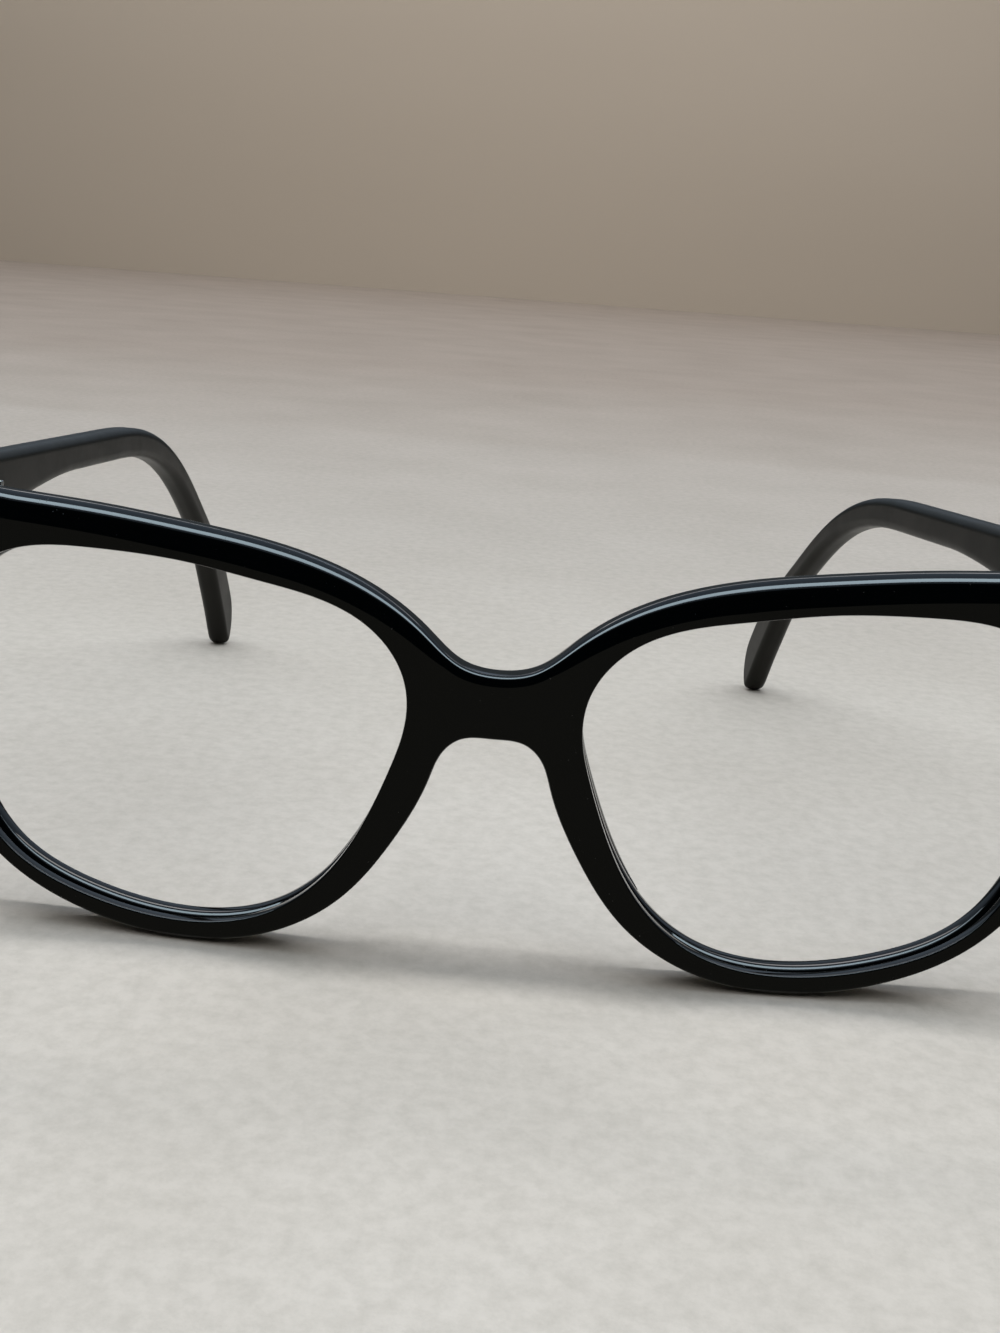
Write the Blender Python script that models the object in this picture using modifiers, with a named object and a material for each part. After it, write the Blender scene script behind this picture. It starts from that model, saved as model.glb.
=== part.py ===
"""Black acetate spectacle frame without lenses, standing open on its rims and its temple tips.

Units are metres and +Z is up. The front faces -Y and the temples run back along +Y. Sides are the
wearer's: the left temple is at +X, the right temple at -X.
"""

import math

import bmesh
import bpy
import numpy as np
from mathutils import Matrix, Vector

# Front: lens openings and bridge
LENS_WIDTH = 0.0508
LENS_HEIGHT = 0.0405
LENS_DISTANCE = 0.0195
FRONT_THICKNESS = 0.0050
FRONT_BOW_RADIUS = 0.500
BOWED_HALF_SPAN = 0.055
ENDPIECE_REACH = 0.00915
BRIDGE_TOP = 0.0330
BRIDGE_UNDERSIDE = 0.0260
EDGE_ROUND = 0.0005
LIP_ROUND = 0.0003

# How far each sixteenth of the opening lies from its middle, as a share of the oval with the lens's
# width and height, from the temporal side over the top
OPENING_SHARES = (
    0.99, 1.075, 1.24, 1.095, 0.988, 0.988, 1.088, 1.08,
    0.96, 0.92, 0.965, 1.015, 1.0, 0.99, 1.01, 0.985,
)

# Front: width of the rim round the opening
RIM_BROW_TEMPORAL = 0.0057
RIM_BROW_OUTER = 0.0047
RIM_BROW = 0.0040
RIM_BROW_NASAL = 0.0035
RIM_TEMPORAL = 0.0042
RIM_TEMPORAL_LOW = 0.0032
RIM_TEMPORAL_CORNER = 0.0024
RIM_LOWER_CORNER = 0.0017
RIM_BOTTOM_OUTER = 0.00195
RIM_BOTTOM = 0.0021
RIM_BOTTOM_NASAL = 0.0023
RIM_NASAL_LOW = 0.0031
RIM_NASAL = 0.0038
RIM_NASAL_HIGH = 0.0044

# Front: lens groove and brow bevel
GROOVE_DEPTH = 0.0009
GROOVE_WIDTH = 0.0020
GROOVE_FROM_FACE = 0.0023
BEVEL_BRIDGE = 0.0011
BEVEL_NASAL = 0.0019
BEVEL_BROW = 0.0028
BEVEL_END = 0.0020

# Height of the brow bevel at shares of the way from the bridge's middle to the endpiece
BEVEL_SHARES = (0.0, 0.14, 0.26, 0.45, 0.80, 1.0)
BEVEL_HEIGHTS = (BEVEL_BRIDGE, BEVEL_BRIDGE, BEVEL_NASAL, BEVEL_BROW, BEVEL_BROW, BEVEL_END)

# The bevel breaks at a ridge, and both its slopes are set out as shares of its height
RIDGE_HEIGHT_SHARE = 0.28
RIDGE_DEPTH_SHARE = 0.36
BEVEL_DEPTH_SHARE = 0.85

# Front: endpieces
ENDPIECE_TOP = 0.0503
ENDPIECE_HEIGHT = 0.0105
ENDPIECE_LENGTH = 0.0090

# Nose pads, bonded behind the nasal rims
PAD_HEIGHT = 0.0032
PAD_EDGE = 0.0008
PAD_TOP_SHARE = 0.44
PAD_LOW_SHARE = 0.62
PAD_END_WIDTH_SHARE = 0.75
PAD_SWELL_POWER = 0.6

# Hinges
HINGE_HEIGHT = 0.0064
HINGE_FROM_END = 0.0072
HINGE_LEVEL = 0.0455
BARREL_RADIUS = 0.0015
LEAF_THICKNESS = 0.0009
FRONT_LEAF_LENGTH = 0.0049
TEMPLE_LEAF_LENGTH = 0.0072
KNUCKLE_GAP = 0.00015
KNUCKLES = 5
SCREW_RADIUS = 0.00065
SCREW_CLEARANCE = 0.00008
SCREW_HEAD_RADIUS = 0.0012
SCREW_HEAD_HEIGHT = 0.0005
SCREW_SLOT_WIDTH = 0.0003
SCREW_SLOT_DEPTH = 0.00025

# Rivets
RIVET_RADIUS = 0.0005
RIVET_HEAD_RADIUS = 0.00095
RIVET_HEAD_HEIGHT = 0.00035
RIVET_TAIL_RADIUS = 0.0008
RIVET_TAIL_HEIGHT = 0.00025
RIVET_SPACING = 0.0044
RIVET_CLEARANCE = 0.0001
RIVET_FROM_AXIS = 0.0038
RIVET_SIDES = 12
RIVET_CROWN_SHARE = 0.9
RIVET_SHOULDER_SHARE = 0.55
RIVET_SHOULDER_WIDTH_SHARE = 0.85

# Temples
TEMPLE_THICKNESS = 0.0039
TEMPLE_END_HEIGHT = 0.0088
TEMPLE_HEIGHT = 0.0046
TEMPLE_BEND_HEIGHT = 0.0036
TEMPLE_TIP_HEIGHT = 0.0066
TIP_LENGTH = 0.0080
TIP_SWEEP_SHARE = 0.65
TEMPLE_FLARE_LENGTH = 0.0406
TEMPLE_EDGE_ROUND = 0.0008
TEMPLE_LENGTH = 0.1325
BEND_START = 0.0546
BEND_LENGTH = 0.0443
DROP_RADIUS = 0.0723
TIP_INWARD = 0.0012
INWARD_START = 0.0510
INWARD_LENGTH = 0.030
TEMPLE_RISE = {"left": math.radians(1.41), "right": math.radians(2.67)}
LEAST_BEND = math.radians(20)
MOST_BEND = math.radians(60)
PATH_STEPS = 130

# Core wire in each temple
WIRE_RADIUS = 0.00055
WIRE_CHANNEL_RADIUS = 0.00075
WIRE_TIP_MARGIN = 0.0075
WIRE_POINTS = 24

# How the frame stands
LEAN_BACK = math.radians(4.95)
OPEN_ANGLE = math.radians(2.97)
LEFT_TURNED_IN = math.radians(8.23)

# Gaps and overruns
SEAT_GAP = 0.0003
CUT_OVERRUN = 0.0008
WELD_DISTANCE = 0.000002

# Facets
OPENING_STEPS = 72
OUTLINE_STEPS = 4
ROUND_SIDES = 20
PAD_STATIONS = 15
PAD_ARC_POINTS = 6
TIP_STEPS = 16
OUTLINE_THINNING = 3
INWARD_STEPS = 6

SIDES = {"left": 1, "right": -1}
LENS_CENTRE_X = LENS_DISTANCE / 2 + LENS_WIDTH / 2
FRONT_HALF_WIDTH = LENS_DISTANCE / 2 + LENS_WIDTH + ENDPIECE_REACH
LENS_CENTRE_Z = RIM_BOTTOM + LENS_HEIGHT / 2
BOW_SLOPE = BOWED_HALF_SPAN / FRONT_BOW_RADIUS
BOW_ANGLE = math.atan(BOW_SLOPE)
HINGE_OFFSET = SEAT_GAP + LEAF_THICKNESS + BARREL_RADIUS + KNUCKLE_GAP
HINGE_X = FRONT_HALF_WIDTH - HINGE_FROM_END
KNUCKLE_HEIGHT = (HINGE_HEIGHT - (KNUCKLES - 1) * KNUCKLE_GAP) / KNUCKLES
SPINE_LEVEL = (TEMPLE_END_HEIGHT - TEMPLE_HEIGHT) / 2
TIP_RADIUS = TEMPLE_TIP_HEIGHT / 2
PATH_STEP = (TEMPLE_LENGTH - TIP_LENGTH) / PATH_STEPS


# Scene, collections and materials

def clear_scene():
    for thing in list(bpy.data.objects):
        bpy.data.objects.remove(thing, do_unlink=True)


def new_collection(name, drawn):
    collection = bpy.data.collections.new(name)
    bpy.context.scene.collection.children.link(collection)
    collection.hide_render = not drawn
    return collection


def new_material(name, colour, roughness, metallic):
    material = bpy.data.materials.new(name)
    material.use_nodes = True
    shader = material.node_tree.nodes["Principled BSDF"]
    shader.inputs["Base Color"].default_value = (*colour, 1.0)
    shader.inputs["Roughness"].default_value = roughness
    shader.inputs["Metallic"].default_value = metallic
    return material


clear_scene()
PARTS = new_collection("eyeglass_frame", True)
CUTTERS = new_collection("cutters", False)
BLACK_ACETATE = new_material("black_acetate", (0.006, 0.006, 0.005), 0.12, 0.0)
HINGE_METAL = new_material("hinge_metal", (0.55, 0.54, 0.52), 0.30, 1.0)
SCREW_STEEL = new_material("screw_steel", (0.62, 0.62, 0.63), 0.20, 1.0)
WIRE_METAL = new_material("wire_metal", (0.50, 0.49, 0.47), 0.35, 1.0)


def add_object(name, mesh, material, parent, collection=PARTS):
    thing = bpy.data.objects.new(name, mesh)
    collection.objects.link(thing)
    if material:
        mesh.materials.clear()
        mesh.materials.append(material)
    thing.parent = parent
    return thing


def add_empty(name, location, rotation, parent):
    empty = bpy.data.objects.new(name, None)
    PARTS.objects.link(empty)
    empty.location = location
    empty.rotation_euler = rotation
    empty.parent = parent
    return empty


def mesh_from(bm, name):
    bmesh.ops.recalc_face_normals(bm, faces=bm.faces)
    mesh = bpy.data.meshes.new(name)
    bm.to_mesh(mesh)
    bm.free()
    return mesh


def as_cutter(mesh, name):
    cutter = add_object(name, mesh, None, None, CUTTERS)
    cutter.hide_render = True
    cutter.display_type = "WIRE"
    return cutter


def boolean(mesh, other_meshes, operation):
    """The mesh with the other meshes cut out of it or joined to it, one after another."""
    body = as_cutter(mesh, mesh.name + "_body")
    for number, other in enumerate(other_meshes):
        modifier = body.modifiers.new(f"{operation}_{number}", "BOOLEAN")
        modifier.object = as_cutter(other, f"{mesh.name}_tool_{number}")
        modifier.operation = operation
        modifier.solver = "EXACT"
    evaluated = body.evaluated_get(bpy.context.evaluated_depsgraph_get())
    result = bpy.data.meshes.new_from_object(evaluated)
    result.name = mesh.name
    for modifier in list(body.modifiers):
        bpy.data.objects.remove(modifier.object, do_unlink=True)
    bpy.data.objects.remove(body, do_unlink=True)
    bm = bmesh.new()
    bm.from_mesh(result)
    bmesh.ops.remove_doubles(bm, verts=bm.verts, dist=WELD_DISTANCE)
    bmesh.ops.dissolve_degenerate(bm, edges=bm.edges, dist=WELD_DISTANCE)
    bm.to_mesh(result)
    bm.free()
    return result


def merge_cheeks(bm, axis):
    """Joins the triangles of a plate's two flat cheeks, which face along the axis."""
    flat = []
    for edge in bm.edges:
        places = [vert.co[axis] for face in edge.link_faces for vert in face.verts]
        if max(places) - min(places) < WELD_DISTANCE:
            flat.append(edge)
    limit = math.pi
    bmesh.ops.dissolve_limit(bm, angle_limit=limit, verts=[], edges=flat, use_dissolve_boundaries=False)


def shade_round(mesh, angle=math.radians(35)):
    mesh.shade_smooth()
    mesh.set_sharp_from_angle(angle=angle)
    return mesh


# Smooth outlines

def smooth_loop(points, steps):
    """A closed curve of even curvature through the points, with the given steps between them."""
    points = np.array(points)
    count = len(points)
    ahead = np.roll(points, -1, axis=0)
    spans = np.linalg.norm(ahead - points, axis=1)
    behind_spans = np.roll(spans, 1)
    rates = (ahead - points) / spans[:, None]
    system = np.zeros((count, count))
    for i in range(count):
        system[i, i - 1] = spans[i]
        system[i, i] = 2 * (spans[i] + behind_spans[i])
        system[i, (i + 1) % count] = behind_spans[i]
    behind_rates = np.roll(rates, 1, axis=0)
    target = 3 * (spans[:, None] * behind_rates + behind_spans[:, None] * rates)
    slopes = np.linalg.solve(system, target)
    loop = []
    for i in range(count):
        j = (i + 1) % count
        for share in np.arange(steps) / steps:
            start = (1 + 2 * share) * (1 - share) ** 2 * points[i]
            end = share**2 * (3 - 2 * share) * points[j]
            lead = share * (1 - share) ** 2 * spans[i] * slopes[i]
            trail = share**2 * (share - 1) * spans[i] * slopes[j]
            loop.append(tuple(start + end + lead + trail))
    return loop


def smooth_cycle(values):
    """A function of a turn from 0 to 1 that passes evenly through values spaced round the turn."""
    count = len(values)
    values = np.array(values)
    system = 4 * np.eye(count) + np.roll(np.eye(count), 1, axis=0) + np.roll(np.eye(count), -1, axis=0)
    slopes = np.linalg.solve(system, 3 * (np.roll(values, -1) - np.roll(values, 1)))

    def at(turn):
        place = (turn % 1.0) * count
        i = int(place) % count
        j = (i + 1) % count
        share = place - int(place)
        start = (1 + 2 * share) * (1 - share) ** 2 * values[i]
        end = share**2 * (3 - 2 * share) * values[j]
        lead = share * (1 - share) ** 2 * slopes[i]
        trail = share**2 * (share - 1) * slopes[j]
        return start + end + lead + trail

    return at


opening_share = smooth_cycle(OPENING_SHARES)


def opening_point(turn, out=0.0):
    """A point (x, z) on the left lens opening, moved outwards into the rim by a distance."""
    def plain(where):
        angle = math.tau * where
        share = opening_share(where)
        x = LENS_CENTRE_X + share * LENS_WIDTH / 2 * math.cos(angle)
        z = LENS_CENTRE_Z + share * LENS_HEIGHT / 2 * math.sin(angle)
        return np.array([x, z])

    nudge = 1 / (OPENING_STEPS * OPENING_STEPS)
    along = plain(turn + nudge) - plain(turn - nudge)
    along /= np.linalg.norm(along)
    return plain(turn) + out * np.array([along[1], -along[0]])


def mirrored(point):
    return (-point[0], point[1])


# Rim widths at sixteenths of a turn round the opening, from the brow's nasal end over the temporal
# side's foot to the bridge
BROW_RIM = (
    (6 / 16, RIM_BROW_NASAL),
    (5 / 16, RIM_BROW),
    (4 / 16, RIM_BROW),
    (3 / 16, RIM_BROW_OUTER),
    (2.5 / 16, RIM_BROW_TEMPORAL),
)
LOWER_RIM = (
    (1 / 16, RIM_TEMPORAL),
    (0 / 16, RIM_TEMPORAL_LOW),
    (-1 / 16, RIM_TEMPORAL_CORNER),
    (-2 / 16, RIM_LOWER_CORNER),
    (-3 / 16, RIM_BOTTOM_OUTER),
    (-4 / 16, RIM_BOTTOM),
    (-5 / 16, RIM_BOTTOM_NASAL),
    (-6 / 16, RIM_NASAL_LOW),
    (-7 / 16, RIM_NASAL),
    (-8 / 16, RIM_NASAL_HIGH),
)
# Points of the bridge's saddle and arch, as shares of the lens distance across and of the bridge's
# height up
SADDLE_SHARES = ((0.0, 0.0), (0.205, 0.11), (0.41, 0.56))
ARCH_SHARES = ((0.27, -0.26), (0.18, -0.05), (0.0, 0.0))
# Points of the endpiece, as shares of its length from the end inwards and of its height from the top
# down
ENDPIECE_SHARES = (
    (1.0, 0.13), (0.45, 0.01), (0.09, 0.05), (0.0, 0.30),
    (0.06, 0.62), (0.30, 0.95), (0.55, 1.35),
)


def half_outline():
    """Outline of the wearer's left half, from the saddle's middle round the rim to the arch's middle."""
    bridge_height = BRIDGE_TOP - BRIDGE_UNDERSIDE
    saddle = [(x * LENS_DISTANCE, BRIDGE_TOP + z * bridge_height) for x, z in SADDLE_SHARES]
    brow = [tuple(opening_point(turn, width)) for turn, width in BROW_RIM]
    end = [
        (FRONT_HALF_WIDTH - x * ENDPIECE_LENGTH, ENDPIECE_TOP - z * ENDPIECE_HEIGHT)
        for x, z in ENDPIECE_SHARES
    ]
    lower = [tuple(opening_point(turn, width)) for turn, width in LOWER_RIM]
    arch = [(x * LENS_DISTANCE, BRIDGE_UNDERSIDE + z * bridge_height) for x, z in ARCH_SHARES]
    return saddle + brow + end + lower + arch


def front_outline():
    half = half_outline()
    other = [mirrored(point) for point in reversed(half[1:-1])]
    return smooth_loop(half + other, OUTLINE_STEPS)


def opening_loop(side, out=0.0, steps=OPENING_STEPS):
    loop = [opening_point(step / steps, out) for step in range(steps)]
    return [(side * x, z) for x, z in loop]


# Flat plates, lofts and turned pieces

def plate(loops, thickness, name):
    """Closed loops of (x, z) points, filled between them and given a thickness about Y = 0."""
    curve = bpy.data.curves.new(name, "CURVE")
    curve.dimensions = "2D"
    curve.fill_mode = "BOTH"
    curve.extrude = thickness / 2
    for loop in loops:
        spline = curve.splines.new("POLY")
        spline.points.add(len(loop) - 1)
        for point, (x, z) in zip(spline.points, loop):
            point.co = (x, z, 0.0, 1.0)
        spline.use_cyclic_u = True
    carrier = bpy.data.objects.new(name, curve)
    CUTTERS.objects.link(carrier)
    evaluated = carrier.evaluated_get(bpy.context.evaluated_depsgraph_get())
    mesh = bpy.data.meshes.new_from_object(evaluated)
    bpy.data.objects.remove(carrier, do_unlink=True)
    bm = bmesh.new()
    bm.from_mesh(mesh)
    bmesh.ops.remove_doubles(bm, verts=bm.verts, dist=WELD_DISTANCE)
    bmesh.ops.rotate(bm, verts=bm.verts, matrix=Matrix.Rotation(math.pi / 2, 3, "X"))
    bmesh.ops.recalc_face_normals(bm, faces=bm.faces)
    return bm


def loft(sections, closed, name):
    """Skin over rings of points. A closed loft joins its last ring to its first, any other is capped."""
    bm = bmesh.new()
    rings = [[bm.verts.new(point) for point in section] for section in sections]
    pairs = list(zip(rings, rings[1:] + rings[:1])) if closed else list(zip(rings, rings[1:]))
    for near, far in pairs:
        for i in range(len(near)):
            j = (i + 1) % len(near)
            bm.faces.new((near[i], near[j], far[j], far[i]))
    if not closed:
        bm.faces.new(rings[0])
        bm.faces.new(rings[-1])
    return mesh_from(bm, name)


def cylinder(radius, low, high, name, sides=ROUND_SIDES, axis="Z", centre=(0.0, 0.0, 0.0)):
    bm = bmesh.new()
    length = high - low
    bmesh.ops.create_cone(bm, cap_ends=True, segments=sides, radius1=radius, radius2=radius, depth=length)
    bmesh.ops.translate(bm, verts=bm.verts, vec=(0.0, 0.0, (low + high) / 2))
    turns = {"X": Matrix.Rotation(math.pi / 2, 3, "Y"), "Y": Matrix.Rotation(-math.pi / 2, 3, "X")}
    if axis in turns:
        bmesh.ops.rotate(bm, verts=bm.verts, matrix=turns[axis])
    bmesh.ops.translate(bm, verts=bm.verts, vec=centre)
    return mesh_from(bm, name)


def block(low, high, name):
    bm = bmesh.new()
    bmesh.ops.create_cube(bm, size=1.0)
    size = Vector(high) - Vector(low)
    bmesh.ops.scale(bm, verts=bm.verts, vec=[abs(length) for length in size])
    bmesh.ops.translate(bm, verts=bm.verts, vec=(Vector(low) + Vector(high)) / 2)
    return mesh_from(bm, name)


def turned(profile, sides, name, material, parent):
    """A solid turned about local Z from a profile of (radius, z) points that runs from top to bottom."""
    mesh = bpy.data.meshes.new(name)
    points = [(radius, 0.0, z) for radius, z in profile]
    mesh.from_pydata(points, [(i, i + 1) for i in range(len(points) - 1)], [])
    thing = add_object(name, mesh, material, parent)
    screw = thing.modifiers.new("turn", "SCREW")
    screw.axis = "Z"
    screw.steps = sides
    screw.render_steps = sides
    screw.use_merge_vertices = True
    screw.merge_threshold = 0.00001
    screw.use_smooth_shade = True
    return thing


# The front

def bow(x):
    """How far the front is bowed back at a distance x from its middle. Its ends run straight on."""
    reach = min(abs(x), BOWED_HALF_SPAN)
    return reach**2 / (2 * FRONT_BOW_RADIUS) + (abs(x) - reach) * BOW_SLOPE


def bow_mesh(mesh):
    for vertex in mesh.vertices:
        vertex.co.y += bow(vertex.co.x)
    return mesh


def groove_cutter(side):
    """Ring of triangles whose point runs round inside the rim as the lens groove's bottom."""
    slope = GROOVE_WIDTH / 2 / GROOVE_DEPTH
    half_mouth = GROOVE_WIDTH / 2 + CUT_OVERRUN * slope
    sections = []
    for step in range(OPENING_STEPS):
        bottom_x, bottom_z = opening_point(step / OPENING_STEPS, GROOVE_DEPTH)
        mouth_x, mouth_z = opening_point(step / OPENING_STEPS, -CUT_OVERRUN)
        sections.append((
            (side * bottom_x, GROOVE_FROM_FACE, bottom_z),
            (side * mouth_x, GROOVE_FROM_FACE - half_mouth, mouth_z),
            (side * mouth_x, GROOVE_FROM_FACE + half_mouth, mouth_z),
        ))
    return loft(sections, True, "groove_cutter")


def brow_bevel_cutter(outline):
    """Bar along the front's top edge, which leaves a band of two slopes that narrows over the bridge."""
    last = OUTLINE_STEPS * (len(SADDLE_SHARES) + len(BROW_RIM) + 1)
    sections = []
    stations = [(index, 0.0) for index in range(-last, last + 1)]
    for index, shift in [(-last, -ENDPIECE_LENGTH), *stations, (last, ENDPIECE_LENGTH)]:
        here = np.array(outline[index % len(outline)])
        ahead = np.array(outline[(index + 1) % len(outline)])
        behind = np.array(outline[(index - 1) % len(outline)])
        along = (ahead - behind) / np.linalg.norm(ahead - behind)
        here = here + along * shift
        inward = np.array([along[1], -along[0]])
        height = np.interp(abs(index) / last, BEVEL_SHARES, BEVEL_HEIGHTS)
        lower_slope = RIDGE_DEPTH_SHARE / (1 - RIDGE_HEIGHT_SHARE)
        upper_slope = (BEVEL_DEPTH_SHARE - RIDGE_DEPTH_SHARE) / RIDGE_HEIGHT_SHARE
        foot = here + inward * (height + CUT_OVERRUN / lower_slope)
        ridge = here + inward * height * RIDGE_HEIGHT_SHARE
        top = here - inward * CUT_OVERRUN
        sections.append((
            (foot[0], -CUT_OVERRUN, foot[1]),
            (ridge[0], height * RIDGE_DEPTH_SHARE, ridge[1]),
            (top[0], height * BEVEL_DEPTH_SHARE + CUT_OVERRUN * upper_slope, top[1]),
            (top[0], -CUT_OVERRUN, top[1]),
        ))
    return loft(sections, False, "brow_bevel_cutter")


def round_front_edges(bm):
    """Rounds the outer edges, and takes only the sharpness off the lips of the openings."""
    merge_cheeks(bm, 1)
    lips = []
    outer = []
    for edge in bm.edges:
        if edge.calc_face_angle() < math.pi / 4:
            continue
        if abs(edge.verts[0].co.y - edge.verts[1].co.y) > LIP_ROUND:
            continue
        middle = (edge.verts[0].co + edge.verts[1].co) / 2
        turn = math.atan2(
            (middle.z - LENS_CENTRE_Z) / LENS_HEIGHT,
            (abs(middle.x) - LENS_CENTRE_X) / LENS_WIDTH,
        ) / math.tau
        lip = opening_point(turn)
        near = math.dist(lip, (abs(middle.x), middle.z)) < RIM_BOTTOM / 2
        (lips if near else outer).append(edge)
    bmesh.ops.bevel(bm, geom=lips, offset=LIP_ROUND, segments=1, affect="EDGES", profile=0.5)
    outer = [edge for edge in outer if edge.is_valid]
    bmesh.ops.bevel(bm, geom=outer, offset=EDGE_ROUND, segments=3, affect="EDGES", profile=0.5)


def hinge_foot(side):
    """Place on the front's rear face that the hinge axis stands over, in the front's own axes."""
    return Vector((side * HINGE_X, FRONT_THICKNESS + bow(HINGE_X), HINGE_LEVEL))


def endpiece_axes(side):
    """Turns a local frame with +Y out of the endpiece's rear face and +X towards the front's end."""
    return Matrix.Rotation(side * BOW_ANGLE, 3, "Z")


def rivet_levels():
    return (-RIVET_SPACING / 2, RIVET_SPACING / 2)


def front_rivet_places(side):
    across = endpiece_axes(side) @ Vector((-side * RIVET_FROM_AXIS, 0.0, 0.0))
    return [hinge_foot(side) + across + Vector((0.0, 0.0, level)) for level in rivet_levels()]


def rivet_hole(place, axes, length):
    hole = cylinder(RIVET_RADIUS + RIVET_CLEARANCE, -length, length, "rivet_hole", RIVET_SIDES, "Y")
    hole.transform(Matrix.Translation(place) @ axes.to_4x4())
    return hole


def make_front(parent):
    outline = front_outline()
    bm = plate([outline, opening_loop(1), opening_loop(-1)], FRONT_THICKNESS, "front")
    bmesh.ops.translate(bm, verts=bm.verts, vec=(0.0, FRONT_THICKNESS / 2, 0.0))
    round_front_edges(bm)
    mesh = mesh_from(bm, "front")
    mesh = boolean(mesh, [groove_cutter(1), groove_cutter(-1)], "DIFFERENCE")
    mesh = boolean(mesh, [brow_bevel_cutter(outline)], "DIFFERENCE")
    bow_mesh(mesh)
    holes = []
    for side in SIDES.values():
        for place in front_rivet_places(side):
            holes.append(rivet_hole(place, endpiece_axes(side), FRONT_THICKNESS + CUT_OVERRUN))
    mesh = boolean(mesh, holes, "DIFFERENCE")
    return add_object("front", shade_round(mesh), BLACK_ACETATE, parent)


# Nose pads

def pad_rim_width(turn):
    turns = [-8 / 16, -7 / 16, -6 / 16]
    widths = [RIM_NASAL_HIGH, RIM_NASAL, RIM_NASAL_LOW]
    return float(np.interp(turn, turns, widths))


def make_nose_pad(name, side, parent):
    """Cushion behind the nasal rim: upright on the lens side, sloping down towards the nose."""
    sections = []
    for station in range(PAD_STATIONS):
        share = station / (PAD_STATIONS - 1)
        turn = PAD_TOP_SHARE + share * (PAD_LOW_SHARE - PAD_TOP_SHARE)
        inner_share = (share * (PAD_STATIONS - 2) + 1) / PAD_STATIONS
        swell = math.sin(math.pi * inner_share) ** PAD_SWELL_POWER
        height = PAD_EDGE + (PAD_HEIGHT - PAD_EDGE) * swell
        narrowing = 1 - (1 - PAD_END_WIDTH_SHARE) * (1 - swell)
        width = (pad_rim_width(turn - 1) - 2 * EDGE_ROUND) * narrowing
        section = [(0.0, 0.0)]
        for point in range(PAD_ARC_POINTS):
            angle = math.pi / 2 * (1 - point / (PAD_ARC_POINTS - 1))
            section.append((width * math.cos(angle), PAD_EDGE + (height - PAD_EDGE) * math.sin(angle)))
        section.append((width, 0.0))
        ring = []
        for out, back in section:
            x, z = opening_point(turn, out)
            ring.append((side * x, FRONT_THICKNESS + SEAT_GAP + bow(x) + back, z))
        sections.append(ring)
    mesh = loft(sections, False, name)
    return add_object(name, shade_round(mesh, math.radians(50)), BLACK_ACETATE, parent)


# Hinges

def leaf_mesh(name, plate_low, plate_high, web, levels):
    """A hinge leaf: its plate, its knuckles on the axis and the webs between, bored for the screw."""
    body = block(plate_low, plate_high, name)
    joined = []
    for level in levels:
        low = level - KNUCKLE_HEIGHT / 2
        high = level + KNUCKLE_HEIGHT / 2
        joined.append(cylinder(BARREL_RADIUS, low, high, "knuckle"))
        joined.append(block((web[0][0], web[0][1], low), (web[1][0], web[1][1], high), "web"))
    body = boolean(body, joined, "UNION")
    reach = HINGE_HEIGHT
    bore = cylinder(SCREW_RADIUS + SCREW_CLEARANCE, -reach, reach, "bore")
    return boolean(body, [bore], "DIFFERENCE")


def knuckle_levels(numbers):
    pitch = KNUCKLE_HEIGHT + KNUCKLE_GAP
    return [(number - (KNUCKLES - 1) / 2) * pitch for number in numbers]


def make_front_leaf(name, side, parent):
    near = -(HINGE_OFFSET - SEAT_GAP)
    far = near + LEAF_THICKNESS
    half = HINGE_HEIGHT / 2
    outer = side * BARREL_RADIUS / 2
    low = (-side * FRONT_LEAF_LENGTH, near, -half)
    web = ((-side * BARREL_RADIUS, near + LEAF_THICKNESS / 2), (0.0, 0.0))
    mesh = leaf_mesh(name, low, (outer, far, half), web, knuckle_levels((0, 2, 4)))
    holes = []
    for level in rivet_levels():
        place = Vector((-side * RIVET_FROM_AXIS, near, level))
        holes.append(rivet_hole(place, Matrix.Identity(3), HINGE_OFFSET))
    mesh = boolean(mesh, holes, "DIFFERENCE")
    return add_object(name, shade_round(mesh), HINGE_METAL, parent)


def make_temple_leaf(name, side, parent):
    face = HINGE_OFFSET - SEAT_GAP
    near = face - LEAF_THICKNESS
    half = HINGE_HEIGHT / 2
    low = (side * near, -BARREL_RADIUS / 2, -half)
    web = ((0.0, 0.0), (side * (near + LEAF_THICKNESS / 2), BARREL_RADIUS))
    mesh = leaf_mesh(name, low, (side * face, TEMPLE_LEAF_LENGTH, half), web, knuckle_levels((1, 3)))
    turn = Matrix.Rotation(math.pi / 2, 3, "Z")
    holes = []
    for level in rivet_levels():
        place = Vector((side * near, RIVET_FROM_AXIS, level))
        holes.append(rivet_hole(place, turn, HINGE_OFFSET))
    mesh = boolean(mesh, holes, "DIFFERENCE")
    return add_object(name, shade_round(mesh), HINGE_METAL, parent)


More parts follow.
